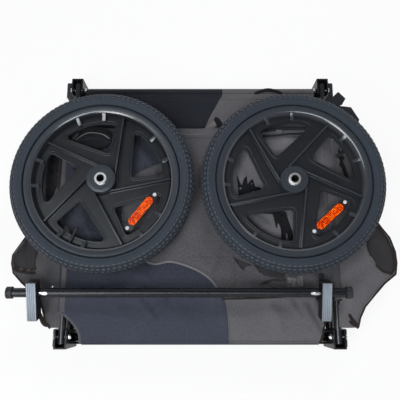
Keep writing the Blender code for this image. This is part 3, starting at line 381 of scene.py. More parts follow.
def mm(*points):
    """Tuples of lengths given in millimetres, in metres."""
    return [tuple(length / 1000 for length in point) for point in points]


def mended(form, dist=0.00002):
    """Closes seams and turns the faces outwards."""
    bmesh.ops.remove_doubles(form, verts=form.verts, dist=dist)
    bmesh.ops.recalc_face_normals(form, faces=form.faces)
    return form


def turned(profile, steps, closed=True):
    """A profile of (radius, height) points turned about Z."""
    form = bmesh.new()
    points = [form.verts.new((r, 0, z)) for r, z in profile]
    ends = points[1:] + points[:1] if closed else points[1:]
    for a, b in zip(points, ends):
        if a.co.x > 1e-9 or b.co.x > 1e-9:
            form.edges.new((a, b))
    geom = form.verts[:] + form.edges[:]
    bmesh.ops.spin(form, geom=geom, cent=(0, 0, 0), axis=(0, 0, 1), angle=math.tau, steps=steps, use_merge=True)
    return mended(form)


def swept(route, radius, sides=12, flat=1.0, closed=False, narrow=None):
    """A round or flattened cord along a route: a ring drawn on from point to point."""
    route = [Vector(p) for p in route]
    form = bmesh.new()
    places = []
    for k, point in enumerate(route):
        if closed:
            along = route[(k + 1) % len(route)] - route[k - 1]
        else:
            along = route[min(k + 1, len(route) - 1)] - route[max(k - 1, 0)]
        along.normalize()
        side = along.cross(Vector((0, 0, 1)))
        if side.length < 1e-4:
            side = Vector((1, 0, 0))
        side.normalize()
        up = side.cross(along)
        turn = Matrix((side, up, along)).transposed().to_4x4()
        size = narrow(k / (len(route) - 1)) if narrow else 1
        places.append(Matrix.Translation(point) @ turn @ Matrix.Diagonal((size, size * flat, 1, 1)))
    ring = bmesh.ops.create_circle(form, segments=sides, radius=radius, matrix=places[0])["verts"]
    first = edges = form.edges[:]
    for before, after in zip(places, places[1:]):
        drawn = bmesh.ops.extrude_edge_only(form, edges=edges)["geom"]
        ring = [g for g in drawn if isinstance(g, bmesh.types.BMVert)]
        edges = [g for g in drawn if isinstance(g, bmesh.types.BMEdge) and all(v in ring for v in g.verts)]
        bmesh.ops.transform(form, matrix=after @ before.inverted(), verts=ring)
    if closed:
        bmesh.ops.bridge_loops(form, edges=first + edges)
    else:
        bmesh.ops.holes_fill(form, edges=form.edges, sides=0)
    return mended(form, 0.000002)


def bevelled(form, edges, offset, segments=2):
    bmesh.ops.bevel(form, geom=edges, offset=offset, segments=segments, profile=0.5, affect="EDGES", material=-1)


def block(size, centre=(0, 0, 0), bevel=0.0006):
    form = bmesh.new()
    bmesh.ops.create_cube(form, size=1)
    bmesh.ops.scale(form, vec=size, verts=form.verts)
    if bevel:
        bevelled(form, form.edges, bevel)
    bmesh.ops.translate(form, vec=centre, verts=form.verts)
    return form


def placed(x, y, z, turn=0.0, axis="Z"):
    return Matrix.Translation((x, y, z)) @ Matrix.Rotation(turn, 4, axis)


def set_in(form, place):
    bmesh.ops.transform(form, matrix=place, verts=form.verts)
    if place.determinant() < 0:
        bmesh.ops.reverse_faces(form, faces=form.faces)
    return form


def together(*forms):
    """One form that holds several."""
    whole = bmesh.new()
    for form in forms:
        mesh = bpy.data.meshes.new("part")
        form.to_mesh(mesh)
        form.free()
        whole.from_mesh(mesh)
        bpy.data.meshes.remove(mesh)
    return whole


def plate(outline, low, high, bevel=0.0, holes=(), segments=2):
    """A flat plate cut to an outline, with holes."""
    form = bmesh.new()
    for loop in (outline, *holes):
        points = [form.verts.new((x, y, low)) for x, y in loop]
        for a, b in zip(points, points[1:] + points[:1]):
            form.edges.new((a, b))
    bmesh.ops.triangle_fill(form, use_beauty=True, use_dissolve=False, edges=form.edges, normal=(0, 0, 1))
    raised = bmesh.ops.extrude_face_region(form, geom=form.faces[:], use_keep_orig=True)["geom"]
    bmesh.ops.translate(form, vec=(0, 0, high - low),
        verts=[g for g in raised if isinstance(g, bmesh.types.BMVert)])
    mended(form)
    if bevel:
        sharp = [e for e in form.edges if e.is_manifold and e.calc_face_angle(0) > 1.2]
        bevelled(form, [e for e in sharp if abs(e.verts[0].co.z - e.verts[1].co.z) < 1e-7], bevel, segments)
    return form


def polar(radius, degrees, centre=(0, 0)):
    turn = math.radians(degrees)
    return centre[0] + radius * math.cos(turn), centre[1] + radius * math.sin(turn)


def circle(radius, steps):
    return [polar(radius, 360 * k / steps) for k in range(steps)]


def capsule(long, wide):
    """A rounded oblong, with its long side along Y."""
    half, steps = (long - wide) / 2, 10
    top = [polar(wide / 2, 180 * k / steps, (0, half)) for k in range(steps + 1)]
    return top + [polar(wide / 2, 180 + 180 * k / steps, (0, -half)) for k in range(steps + 1)]


def rounded(corners, radius, steps=6):
    """An outline whose sharp corners are arcs."""
    line = []
    for k, corner in enumerate(corners):
        here = Vector(corner)
        back = (Vector(corners[k - 1]) - here).normalized()
        ahead = (Vector(corners[(k + 1) % len(corners)]) - here).normalized()
        half = back.angle(ahead) / 2
        if half > math.radians(80):
            line.append(tuple(here))
            continue
        middle = here + (back + ahead).normalized() * radius / math.sin(half)
        first = here + back * radius / math.tan(half)
        start = math.atan2(*(first - middle).yx)
        bend = (back.x * ahead.y - back.y * ahead.x > 0) * 2 - 1
        for j in range(steps + 1):
            angle = start - bend * (math.pi - 2 * half) * j / steps
            line.append((middle.x + radius * math.cos(angle), middle.y + radius * math.sin(angle)))
    return line


def through(points, steps=6):
    """A smooth line through points."""
    points = [Vector(p) for p in points]
    padded = [2 * points[0] - points[1], *points, 2 * points[-1] - points[-2]]
    line = []
    for a, b, c, d in zip(padded, padded[1:], padded[2:], padded[3:]):
        for k in range(steps):
            t = k / steps
            line.append(0.5 * (2 * b + (c - a) * t + (2 * a - 5 * b + 4 * c - d) * t**2
                + (3 * b - a - 3 * c + d) * t**3))
    return [tuple(p) for p in [*line, points[-1]]]


def beside(line, distance, closed=False):
    """A flat line moved to its right."""
    moved, last = [], len(line) - 1
    for k, point in enumerate(line):
        ahead, back = (line[(k + 1) % (last + 1)], line[k - 1]) if closed else (line[min(k + 1, last)],
            line[max(k - 1, 0)])
        along = Vector(ahead) - Vector(back)
        moved.append(tuple(Vector(point) + distance * Vector((along.y, -along.x)).normalized()))
    return moved


def evenly(line, step):
    """Points a step apart along a line, each with the line's direction there."""
    line = [Vector(p) for p in line]
    left, found = 0.0, []
    for a, b in zip(line, line[1:]):
        run = (b - a).length
        while left < run:
            found.append((a + (b - a) * left / run, (b - a).normalized()))
            left += step
        left -= run
    return found


def refined(node, finish, slot, rides, bevel, smooth=30):
    """A CAD node's shape with its seams merged and its edges softened."""
    form = bmesh.new()
    form.from_mesh(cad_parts[node].data)
    bmesh.ops.remove_doubles(form, verts=form.verts, dist=0.00002)
    bmesh.ops.dissolve_limit(form, angle_limit=math.radians(1), verts=form.verts, edges=form.edges)
    made = piece(node + "_finished", form, finish, slot, rides, (node,), smooth)
    soft = made.modifiers.new("edges", "BEVEL")
    soft.width, soft.segments, soft.limit_method, soft.angle_limit = bevel, 2, "ANGLE", math.radians(35)
    soft.harden_normals = False


# Sizes that the CAD model gives
HUB_Y, WHEEL_Z = 0.0403, 0.1235
LEFT_X, RIGHT_X = -0.20325, 0.19425
LEFT_PLACE = placed(LEFT_X, HUB_Y, WHEEL_Z, math.radians(1))
RIGHT_TURN = placed(RIGHT_X, HUB_Y, WHEEL_Z, math.radians(-86.5))
RIGHT_PLACE = RIGHT_TURN @ Matrix.Rotation(math.pi, 4, "X")
TUBE_X, TUBE_R = 0.2825, 0.008
NEAR_HINGE, FAR_HINGE = Vector((0, -0.276, 0.08)), Vector((0, 0.276, 0.05))
COVER_Z, FAR_COVER_Z = 0.0883, 0.0583
HEM_Y, TOP_Y, FAR_TOP_Y = -0.2885, 0.168, -0.168
COVER_X, FLAP_X = 0.291, 0.2925
FAR_X, FAR_HEM_Y = 0.262, 0.27


# Wheels, about their own axis with the outer face up

RIM_R, RIM_HALF, WEB_TOP, WEB_LOW, HUB_R = 0.1605, 0.018, -0.001, -0.006, 0.0295
WINDOW_IN_R, WINDOW_OUT_R, WINDOW_TURN = 0.059, 0.1275, 54.8
RIB_OFFSET, RIB_OUT_R = 0.026, 0.1425
FIN_R, FIN_HALF, FIN_TURNS = 0.138, 0.01525, (17.3, 39.8)


def window_line(turn, out=WINDOW_OUT_R, fillet=0.008):
    corners = [polar(WINDOW_IN_R, turn + 4)] + [polar(out, turn + 5 + WINDOW_TURN * k / 8) for k in range(9)]
    return rounded(corners, fillet)


def make_rim(side, place):
    ring = [(RIM_R, RIM_HALF - 0.0018), (RIM_R, RIM_HALF - 0.0055), (0.1525, 0.012), (0.1505, 0.006),
            (0.1505, -0.006), (0.1525, -0.012), (RIM_R, -RIM_HALF + 0.0055), (RIM_R, -RIM_HALF + 0.0018),
            (0.159, -RIM_HALF), (0.149, -RIM_HALF), (0.1482, -0.0174), (0.1456, -0.016), (0.1415, -0.0085),
            (0.1395, WEB_LOW), (0.1385, (WEB_TOP + WEB_LOW) / 2), (0.1395, WEB_TOP), (0.1412, 0.0006),
            (0.1456, 0.016), (0.1482, 0.0174), (0.149, RIM_HALF), (0.159, RIM_HALF),]
    web = plate(circle(0.14, 100), WEB_LOW, WEB_TOP, 0,
                [circle(0.0285, 40)] + [window_line(72 * k) for k in range(5)])
    hub = [(0.0143, -0.0185), (0.0143, 0.023), (0.018, 0.023), (0.0188, 0.0222), (0.0204, 0.0222), (0.0212, 0.023),
           (0.028, 0.023), (0.029, 0.0224), (0.0295, 0.0212), (0.03, WEB_TOP + 0.001), (0.031, WEB_TOP),
           (0.031, WEB_LOW), (0.0298, -0.0075), (0.029, -0.0172), (0.0278, -0.0185), (0.0212, -0.0185),
           (0.0204, -0.0178), (0.0188, -0.0178), (0.018, -0.0185),]
    forms, gussets = [turned(ring, 128), web, turned(hub, 64)], []
    for k in range(5):
        turn = 72 * k
        for z in (WEB_TOP, WEB_LOW):
            edge = window_line(turn, 0.1282, 0.0085)
            forms.append(swept([(x, y, z) for x, y in edge], 0.0018, 8, 0.7, closed=True))
            forms.append(swept([(x, y, z) for x, y in beside(edge, 0.0046, True)], 0.0009, 6, 0.6, closed=True))
        reach = math.sqrt(RIB_OUT_R**2 - RIB_OFFSET**2)
        rib = block((reach, 0.0036, 0.028), (reach / 2, -RIB_OFFSET, -0.0015), 0.0009)
        foot = block((reach - 0.004, 0.0085, 0.006), (reach / 2, -RIB_OFFSET, -0.0035), 0.0022)
        lean = Matrix.Rotation(math.radians(turn) + math.asin(RIB_OFFSET / 0.142), 4, "Z")
        forms += [set_in(rib, lean), set_in(foot, lean)]
        for at in FIN_TURNS:
            fin = block((0.016, 0.0074, 2 * FIN_HALF), (FIN_R, 0, -0.00125), 0.0006)
            for v in fin.verts:
                if v.co.x < FIN_R:
                    v.co.z = 0.0065 if v.co.z > 0 else -0.009
            gussets.append(set_in(fin, Matrix.Rotation(math.radians(turn + at), 4, "Z")))
    lip = mm((144.6, 15), (144.6, 16.6), (145, 17), (147.9, 18.6), (148.3, 18.7), (148.8, 18.4), (148.8, 15))
    gussets += [turned(lip, 128), set_in(turned(lip, 128), Matrix.Diagonal((1, 1, -1, 1)))]
    piece(side + "_wheel_gussets", set_in(together(*gussets), place), GUSSET_PLASTIC, "black_plastic",
          side + "_wheel")
    piece(side + "_wheel_rim", set_in(together(*forms), place), RIM_PLASTIC, "black_plastic", side + "_wheel",
          (side + "_rim",), 38)


def make_tyre(side, place):
    """Tyre with rows of blocks: bars on its walls, shoulders, outer and centre lugs."""
    steps = 318
    half = mm((153.7, 11.2), (160, 11.5), (161.7, 12.2), (162.1, 15), (162.5, 18.2), (163.4, 19.6), (166, 20.4),
              (166.8, 20.4), (167.3, 19.9), (169, 20.5), (170.6, 20.9), (174, 21.5), (175.2, 21.5), (175.7, 21.1),
              (176.2, 21.1), (180, 19.8), (180.4, 19.6), (180.8, 18.9), (181.4, 18.3), (186.2, 13.8), (186.8, 12.8),
              (187.2, 12.4), (190.2, 7.8), (190.5, 6.8), (191.5, 3.2), (191.7, 2.2))
    profile = half + [(0.192, 0)] + [(r, -z) for r, z in reversed(half)]
    form = turned(profile, steps)
    lug = form.faces.layers.float.new("lug")
    rows = {"bars": [], "shoulder": [], "outer": [], "centre": []}
    for face in form.faces:
        at = face.calc_center_median()
        r, z = math.hypot(at.x, at.y), abs(at.z)
        k = int((math.degrees(math.atan2(at.y, at.x)) % 360) / 360 * steps + 0.001) + (at.z > 0)
        if 0.1764 < r < 0.18 and z > 0.0197 and k % 3:
            rows["bars"].append(face)
        elif 0.1815 < r < 0.1861 and z > 0.0139 and k % 3:
            rows["shoulder"].append(face)
        elif 0.1873 < r < 0.1902 and (k + 1) % 3:
            rows["outer"].append(face)
        elif 0.1906 < r < 0.1915 and z < 0.0066 and k % 3:
            rows["centre"].append(face)
    for name, depth in (("bars", 0.0005), ("shoulder", 0.0014), ("outer", 0.0012), ("centre", 0.0008)):
        sides = bmesh.ops.inset_region(form, faces=rows[name], thickness=0.0006, depth=depth,
            use_even_offset=True)["faces"]
        # Lug tops get 1, for their paler wear and painted highlight; lug sides get -1, for painted shade.
        for faces, share in ((rows[name], 1.0), (sides, -1.0)):
            for face in faces:
                face[lug] = share
    piece(side + "_wheel_tyre", set_in(form, place), RUBBER, "tyre", side + "_wheel", (side + "_tyre",), 28)


def make_hub_parts(side, place):
    sleeve = mm((8.2, -18.8), (11.9, -18.8), (12.3, -19.2), (12.3, -22), (11.8, -22.3), (8, -22.3), (7.6, -21),
                (6, -13.5), (6, 18), (7.6, 25.5), (8, 26.8), (11.8, 26.8), (12.3, 26.4), (12.3, 23.7), (11.9, 23.3),
                (8.2, 23.3))
    piece(side + "_wheel_sleeve", set_in(turned(sleeve, 48), place), SLEEVE_METAL, "aluminium", side + "_wheel_hub",
          (side + "_hub_sleeve",))
    lining = mm((7.9, -22), (7.5, -22), (5.6, -13), (5.6, 17.5), (7.5, 26.5), (7.9, 26.5), (6.1, 17.8),
                (6.1, -13.3))
    piece(side + "_wheel_bore_lining", set_in(turned(lining, 32), place), BASE_PLASTIC, "black_plastic",
          side + "_wheel_hub")
    for name, low in (("inner", -0.0175), ("outer", 0.014)):
        race = [(0.0085, low + 0.0004), (0.0089, low), (0.0136, low), (0.014, low + 0.0004), (0.014, low + 0.0076),
                (0.0136, low + 0.008), (0.0122, low + 0.008), (0.012, low + 0.0076), (0.0104, low + 0.0076),
                (0.0102, low + 0.008), (0.0089, low + 0.008), (0.0085, low + 0.0076)]
        piece(f"{side}_wheel_{name}_race", set_in(turned(race, 40), place), CHROME, "chrome", side + "_wheel_hub",
              (f"{side}_{name}_bearing",))


def make_valve(side, place):
    stem = mm((0, 108), (2.4, 108), (3.7, 109.2), (4, 110.2), (4, 116), (3.6, 116.6), (4, 117.2), (4, 120.5),
              (3.6, 121), (2.7, 121.2), (2.7, 125), (2.6, 126.2), (2.7, 127.4), (2.7, 138), (2.6, 150), (0, 150))
    form = turned(stem, 24, closed=False)
    ridges = [f for f in form.faces if 0.1103 < f.calc_center_median().z < 0.1159
              and int(math.degrees(math.atan2(f.calc_center_median().y, f.calc_center_median().x)) % 360 / 15) % 2]
    bmesh.ops.inset_individual(form, faces=ridges, thickness=0.0001, depth=-0.0003)
    lay = Matrix.Rotation(math.radians(72 * 3 + 27.5), 4, "Z") @ placed(0, 0, 0.004, math.pi / 2, "Y")
    piece(side + "_wheel_valve", set_in(form, place @ lay), BASE_PLASTIC, "black_plastic", side + "_wheel",
          (side + "_valve",))


def make_reflector(side, centre, turn, web):
    seat = centre @ Matrix.Rotation(math.radians(turn), 4, "Z") @ Matrix.Translation((0.104, 0, web))
    leaf = [polar(0.0098, 12 + 156 * k / 8, (0, 0.0395)) for k in range(9)]
    leaf = [(0.0098, 0.0)] + [(x * (1 - 0.35 * (y > 0.045)), y) for x, y in leaf] + [(-0.0098, 0.0)]
    outline = leaf + [(-x, -y) for x, y in leaf[1:-1]]
    base = plate(outline, 0.0003, 0.0025, 0.0006)
    piece(side + "_reflector_plate", set_in(base, seat), BASE_PLASTIC, "black_plastic", side + "_wheel",
          (side + "_reflector_base",))
    head = mm((0, 2.2), (3.8, 2.2), (4, 3), (3.4, 4), (1.8, 4.4), (0, 4.5))
    rivets = [set_in(turned(head, 24, closed=False), Matrix.Translation((0, s * 0.0445, 0))) for s in (-1, 1)]
    piece(side + "_reflector_rivets", set_in(together(*rivets), seat), WHITE_PLASTIC, "black_plastic",
          side + "_wheel")
    lens = plate(capsule(0.071, 0.0172), 0.0028, 0.0086, 0.0016, segments=3)
    flat = [f for f in lens.faces if f.normal.z > 0.9 and f.calc_center_median().z > 0.008]
    bmesh.ops.dissolve_faces(lens, faces=flat)
    ribs = []
    for k in range(17):
        y = -0.03 + 0.00375 * k
        ribs.append(block((0.0128 if abs(y) < 0.029 else 0.0085, 0.0016, 0.001), (0, y, 0.0088), 0.0004))
    whole = together(lens, *ribs)
    lay_out(whole)
    piece(side + "_reflector_amber", set_in(whole, seat), AMBER, "amber_lens", side + "_wheel",
          (side + "_reflector_lens",))


for wheel, lay, level, at, face in (("left", LEFT_PLACE, LEFT_PLACE, -39, WEB_TOP),
    ("right", RIGHT_PLACE, RIGHT_TURN, 39, -WEB_LOW)):
    make_rim(wheel, lay)
    make_tyre(wheel, lay)
    make_hub_parts(wheel, lay)
    make_valve(wheel, lay)
    make_reflector(wheel, level, at, face)


# Cloth

LEAST_SHARE = 0.31  # the least that a sheet's area may be of its flat size


def crease(x, y, start, end, width):
    """How close a point is to a crease line, from 0 to 1."""
    ax, ay = start
    bx, by = end
    dx, dy = bx - ax, by - ay
    t = min(max(((x - ax) * dx + (y - ay) * dy) / (dx * dx + dy * dy), 0), 1)
    away = math.hypot(x - ax - t * dx, y - ay - t * dy) / width
    return math.exp(-away * away)


def creases(*rows):
    """Crease lines from rows in millimetres: start, end, width and height."""
    return [((ax, ay), (bx, by), wide, high) for ax, ay, bx, by, wide, high in mm(*rows)]


def creased(x, y, lines):
    return sum(high * crease(x, y, start, end, wide) for start, end, wide, high in lines)


def ripple(x, y, size, seed=0.0):
    return noise.noise(Vector((x / size, y / size, seed)))


def twice_area(outline):
    """Twice the enclosed area of an outline, signed."""
    return sum(a[0] * b[1] - b[0] * a[1] for a, b in zip(outline, outline[1:] + outline[:1]))


def inside(outline, x, y):
    odd = False
    for (ax, ay), (bx, by) in zip(outline, outline[1:] + outline[:1]):
        if (ay > y) != (by > y) and x < (bx - ax) * (y - ay) / (by - ay) + ax:
            odd = not odd
    return odd


def cut_cloth(outline, step=0.018, finer=2, holes=()):
    """A flat piece of cloth: a coarse grid knifed along its outline and holes, then made finer."""
    wide, deep, *middle = span(outline)
    wide, deep = wide + step, deep + step
    form = bmesh.new()
    bmesh.ops.create_grid(form, x_segments=max(2, round(wide / step)), y_segments=max(2, round(deep / step)),
        size=0.5)
    bmesh.ops.scale(form, vec=(wide, deep, 1), verts=form.verts)
    bmesh.ops.translate(form, vec=(*middle, 0), verts=form.verts)
    for loop in (outline, *holes):
        for a, b in zip(loop, loop[1:] + loop[:1]):
            start, end = Vector((*a, 0)), Vector((*b, 0))
            along = end - start
            if along.length < 1e-6:
                continue
            low_x, high_x = min(a[0], b[0]) - 0.0002, max(a[0], b[0]) + 0.0002
            low_y, high_y = min(a[1], b[1]) - 0.0002, max(a[1], b[1]) + 0.0002
            near = []
            for face in form.faces:
                fx, fy = [v.co.x for v in face.verts], [v.co.y for v in face.verts]
                if max(fx) > low_x and min(fx) < high_x and max(fy) > low_y and min(fy) < high_y:
                    near.append(face)
            parts = {e for f in near for e in f.edges} | {v for f in near for v in f.verts}
            across = Vector((-along.y, along.x, 0)).normalized()
            bmesh.ops.bisect_plane(form, geom=near + list(parts), dist=0.00001, plane_co=start, plane_no=across)
    out = []
    for face in form.faces:
        at = face.calc_center_median()
        if not inside(outline, at.x, at.y) or any(inside(h, at.x, at.y) for h in holes):
            out.append(face)
    bmesh.ops.delete(form, geom=out, context="FACES")
    bmesh.ops.triangulate(form, faces=[f for f in form.faces if len(f.verts) > 4])
    if finer:
        bmesh.ops.subdivide_edges(form, edges=form.edges, cuts=finer, use_grid_fill=True)
        bmesh.ops.triangulate(form, faces=[f for f in form.faces if len(f.verts) > 4])
    lay_out(form)
    return form


def cloth(name, outline, height, finish, slot, rides=None, stands_for=(), step=0.018, finer=2, holes=(),
          thick=0.0009, rests_on=(), blend=None):
    """A sheet of cloth cut to an outline and laid over what is under it."""
    form = cut_cloth(outline, step, finer, holes)
    for v in form.verts:
        v.co.z = height(v.co.x, v.co.y)
    form.normal_update()
    if sum(f.normal.z for f in form.faces) < 0:
        bmesh.ops.reverse_faces(form, faces=form.faces)
    made = piece(name, form, finish, slot, rides, stands_for, 180, blend)
    thicken(made, thick)
    wide, deep = span(outline)[:2]
    area = (abs(twice_area(outline)) - sum(abs(twice_area(h)) for h in holes)) / 2
    area = min(max(area, LEAST_SHARE * wide * deep), wide * deep)


def on_cloth(line, height, lift=0.0):
    return [(x, y, height(x, y) + lift) for x, y in line]


def piped(name, line, height, radius, finish, rides, slot="black_cloth", lift=0.0009, flat=1.0, blend=None,
          closed=False):
    """Piping or binding laid along a line on the cloth."""
    form = swept(on_cloth(line, height, lift), radius, 8, flat, closed)
    piece(name, form, finish, slot, rides, blend=blend)


def stitched(name, lines, height, rides, blend=None):
    """Rows of small stitches along lines on the cloth."""
    forms = []
    for line in lines:
        for point, along in evenly([Vector((*p, 0)) for p in line], 0.0042):
            turn = Matrix.Rotation(math.atan2(along.y, along.x), 4, "Z")
            level = height(point.x, point.y)
            slope = height(point.x + along.x * 0.001, point.y + along.y * 0.001) - level
            tip = Matrix.Rotation(-math.atan2(slope, 0.001), 4, "Y")
            stitch = block((0.003, 0.0006, 0.0004), (0, 0, 0), 0)
            forms.append(set_in(stitch, Matrix.Translation((point.x, point.y, level + 0.0011)) @ turn @ tip))
    piece(name, together(*forms), THREAD, "black_cloth", rides, blend=blend)


CREASES = creases((-130, -196, -98, -236, 7, 4.4), (-98, -236, -72, -205, 7, 4.4), (-200, -235, -110, -250, 8, 3.4),
    (-130, -150, -95, -175, 8, 4.6), (212, -215, 240, -268, 8, 4.8), (182, -205, 218, -252, 8, 4.2),
    (235, -205, 250, -250, 7, 4.4), (145, -215, 165, -255, 9, 3.2), (45, -202, 200, -192, 12, 3.8),
    (-235, -85, -150, -250, 18, 3.4), (-120, -150, -30, -250, 18, 3), (90, -120, 180, -160, 16, 4.4),
    (-4, -120, -4, 120, 24, 4), (80, 120, 180, 60, 16, 4.6), (-200, 150, -80, 120, 22, 3.6),
    (20, -150, 52, -60, 10, 3.6), (-40, -90, 20, -140, 12, 3.6), (205, -128, 250, -170, 12, 4.4),
    (236, -100, 282, -150, 10, 3.8), (110, -132, 172, -138, 8, 4), (150, -230, 250, -252, 16, 2),
    (78, -240, 110, -276, 14, 1.8), (-260, 30, -230, -90, 10, 4.8), (-135, 20, -95, 0, 14, 5.2),
    (230, 100, 275, 30, 10, 5), (100, 0, 150, 20, 10, 4.6), (252, 60, 222, 110, 7, 4.4), (130, 110, 230, 130, 8, 4),
    (100, -20, 160, -70, 9, 4.6), (-300, -20, -240, -80, 10, 4.4))


ROOM = 0.0078  # how far the near cloth may rise, and how much further inside a wheel
PUFF_IN_R, PUFF_OUT_R = 0.038, 0.124


def near_height(x, y):
    """The near wall's cloth: stretched at its hems, creased in the middle, puffed up inside the wheels."""
    rise = 0.001 + creased(x, y, CREASES)
    rise += 0.0024 * ripple(x, y, 0.06) + 0.0011 * ripple(x, y, 0.022, 3.0)
    edge = min(y - HEM_Y, TOP_Y - y, COVER_X - abs(x))
    loose, room = min(max(edge / 0.03, 0), 1), ROOM
    for wheel in (LEFT_X, RIGHT_X):
        away = math.hypot(x - wheel, y - HUB_Y)
        rise *= min(max(away / HUB_R - 1, 0), 1)
        puff = min(max(min(away - PUFF_IN_R, PUFF_OUT_R - away) / 0.016, 0), 1)
        room += ROOM * puff
        rise += (0.0072 + 0.0042 * ripple(x, y, 0.03, 6.0) + 0.0016 * abs(ripple(x, y, 0.011, 8.0))) * puff
    band = 0.0006 * (min(y - HEM_Y, TOP_Y - y) < 0.013)
    bar = 0.0007 * (crease(x, y, (-0.27, -0.276), (0.27, -0.276), 0.011)
        + crease(x, y, (-0.25, 0.158), (0.25, 0.158), 0.01))
    return COVER_Z + 0.0006 + min(max(rise * loose, 0), room) + band + bar


def near_outline():
    """The near wall's edge: its left cut-out, its crown from left to right, and its right cut-out."""
    hem, top, edge, tube, bend = HEM_Y, TOP_Y, COVER_X, TUBE_X, 0.03
    low_left = mm((40.5, 0), (37.5, 20.5), (22.5, 42.5), (6, 56.5))
    low_right = mm((-32.5, 74.5), (-27.5, 62.5), (-35.5, 16.5), (-40.5, 0))
    left = through([(x - tube, hem + y) for x, y in low_left], 4) + [(-edge, hem + 0.0605)]
    right = [(edge, hem + 0.085), (tube - 0.0525, hem + 0.1005)]
    right += through([(tube + x, hem + y) for x, y in low_right], 4)
    crown = [polar(bend, 180 - 90 * k / 8, (-edge + bend, top - bend)) for k in range(9)]
    crown += [polar(bend, 90 - 90 * k / 8, (edge - bend, top - bend)) for k in range(9)]
    return left, crown, right


SEAM = through([(x, HEM_Y + y) for x, y in mm((58, -10), (55, 50.5), (49, 86.5), (31, 116.5), (10.3, 136.6),
    (-20.7, 153), (-62.2, 164.4), (-103.6, 161.3), (-155, 203.5), (-165, 288.5), (-140, 348.5), (-75, 388.5),
    (-50, 466.5))], 5)



def within(outline, seam):
    """The part of a seam that lies within an outline, led straight on to its low and high edges."""
    low = next(k for k, p in enumerate(seam) if inside(outline, *p))
    high = max(k for k, p in enumerate(seam) if inside(outline, *p))
    line = seam[low:high + 1]
    bottom, top = (line[0][0], min(p[1] for p in outline)), (line[-1][0], max(p[1] for p in outline))
    return [bottom, *line, top]


left_cut, crown, right_cut = near_outline()
whole = left_cut + crown + right_cut
seam = within(whole, SEAM)
# The left corner of the crown comes before its seam, and the right one after it
black_outline = left_cut + crown[:9] + seam[::-1]
grey_outline = seam + crown[9:] + right_cut
cloth("near_wall_black", black_outline, near_height, BLACK_CLOTH, "black_cloth", "near_side", ("near_cover_black",),
      step=0.014, finer=3, rests_on=["near_frame"])
cloth("near_wall_grey", grey_outline, near_height, GREY_WALL, "grey_cloth", "near_side", ("near_cover_grey",),
      step=0.014, finer=3, rests_on=["near_frame"])

# Seams, hems and stitching of the near wall
stitched("near_seam_stitches", [beside(seam, 0.0035)], near_height, "near_side")
piped("near_seam_cord", seam, near_height, 0.0008, BLACK_BINDING, "near_side", lift=0.0006)
swoosh = [p for p in seam if -0.165 < p[0] < 0.046 and -0.178 < p[1] < -0.075]
piped("near_swoosh_piping", swoosh, near_height, 0.0021, PALE_PIPING, "near_side", "grey_cloth", lift=0.0012,
      flat=0.8)
panel_seam = through(mm((44.5, -200.3), (123.2, -198.4), (205.5, -193.3), (253, -188)), 8)
piped("near_panel_seam", panel_seam, near_height, 0.0019, BROWN_BINDING, "near_side", flat=0.6)
hem_lines = [[(-0.24, HEM_Y + s), (0.24, HEM_Y + s)] for s in (0.003, 0.0048)]
top_lines = [[(-0.25, TOP_Y - s), (0.25, TOP_Y - s)] for s in (0.0205, 0.0235)]
stitched("near_hem_stitches", hem_lines + top_lines, near_height, "near_side")
pocket = mm((-25, -113), (30, -113.5), (73, -113), (73.5, -150), (72, -196))
stitched("near_pocket_stitches", [pocket, beside(pocket, 0.004)], near_height, "near_side")
stitched("near_side_stitches", [[(0.27, -0.188), (0.2705, 0.12)], [(-0.269, -0.215), (-0.269, 0.12)]], near_height,
         "near_side")
piped("near_left_cutout_piping", left_cut, near_height, 0.0028, GREY_PIPING, "near_side", "grey_cloth", flat=0.4)
piped("near_right_cutout_piping", right_cut, near_height, 0.0026, BROWN_BINDING, "near_side", flat=0.4)


def straps(name, lines, finish, rides, height=near_height, slot="black_cloth", flat=0.14, narrow=None):
    """Flat straps that lie on the cloth. In millimetres: width, lift and the points of each."""
    forms = []
    for width, lift, *line in lines:
        route = on_cloth(through(mm(*line), 5), height, lift / 1000)
        forms.append(swept(route, width / 2000, 8, flat, narrow=narrow))
    piece(name, together(*forms), finish, slot, rides)


def folds(name, lines, finish, rides, height=near_height):
    """Narrow folds and edges that lie on the cloth, pointed at their ends."""
    straps(name, lines, finish, rides, height, flat=0.28,
           narrow=lambda t: 0.25 + 0.75 * math.sin(math.pi * t) ** 0.4)


# What shows through the wheels and beside them: dark folds, edges and strap ends
def patch(name, corners, finish, rides, height=near_height, lift=0.0012, slack=0.0016, rests_on="near_wall_grey"):
    """A ragged patch of slack cloth that lies on the cloth under it."""
    outline = rounded(corners, 0.0008, 2)
    outline = outline if twice_area(outline) > 0 else outline[::-1]
    cloth(name, outline, lambda x, y: height(x, y) + lift + slack * ripple(x, y, 0.009, 4.0), finish, "black_cloth",
          rides, step=0.008, rests_on=[rests_on], thick=0.0006)


patch("near_wheel_left_slack", mm((79, 65), (83.5, 50), (89, 37), (94.5, 53), (100, 59), (102, 40), (108, 49),
    (113, 51), (117.5, 35), (129, 32), (140, 24.5), (125, 22.5), (113, 25.5), (105, 17.5), (95, 13), (83, 10)),
      LINING, "near_side")
patch("near_wheel_low_slack", mm((100, -18), (130, -16), (160, -17.5), (168, -15), (181, -20), (186, -40),
    (193, -60), (196, -83), (186, -80), (180, -62), (179, -83), (170, -81), (169, -56), (164, -43), (160, -58),
    (156, -40), (153, -25), (130, -23.5), (101, -25)), LINING, "near_side")
patch("near_net_corner", mm((70, -115), (93.5, -126.5), (108.5, -131.2), (96, -135), (91.5, -142), (83, -133)),
      NETTING, "near_side")
patch("near_net_edge", mm((109, -129), (130, -138), (176, -140), (204, -137), (190, -148), (176, -150),
    (173.4, -158.5), (144.7, -156), (125, -150)), NETTING, "near_side")
patch("near_net_strip", mm((116, -174), (134, -164), (152, -158.5), (178, -159), (177, -166), (150, -164),
    (138, -170)), NETTING, "near_side")
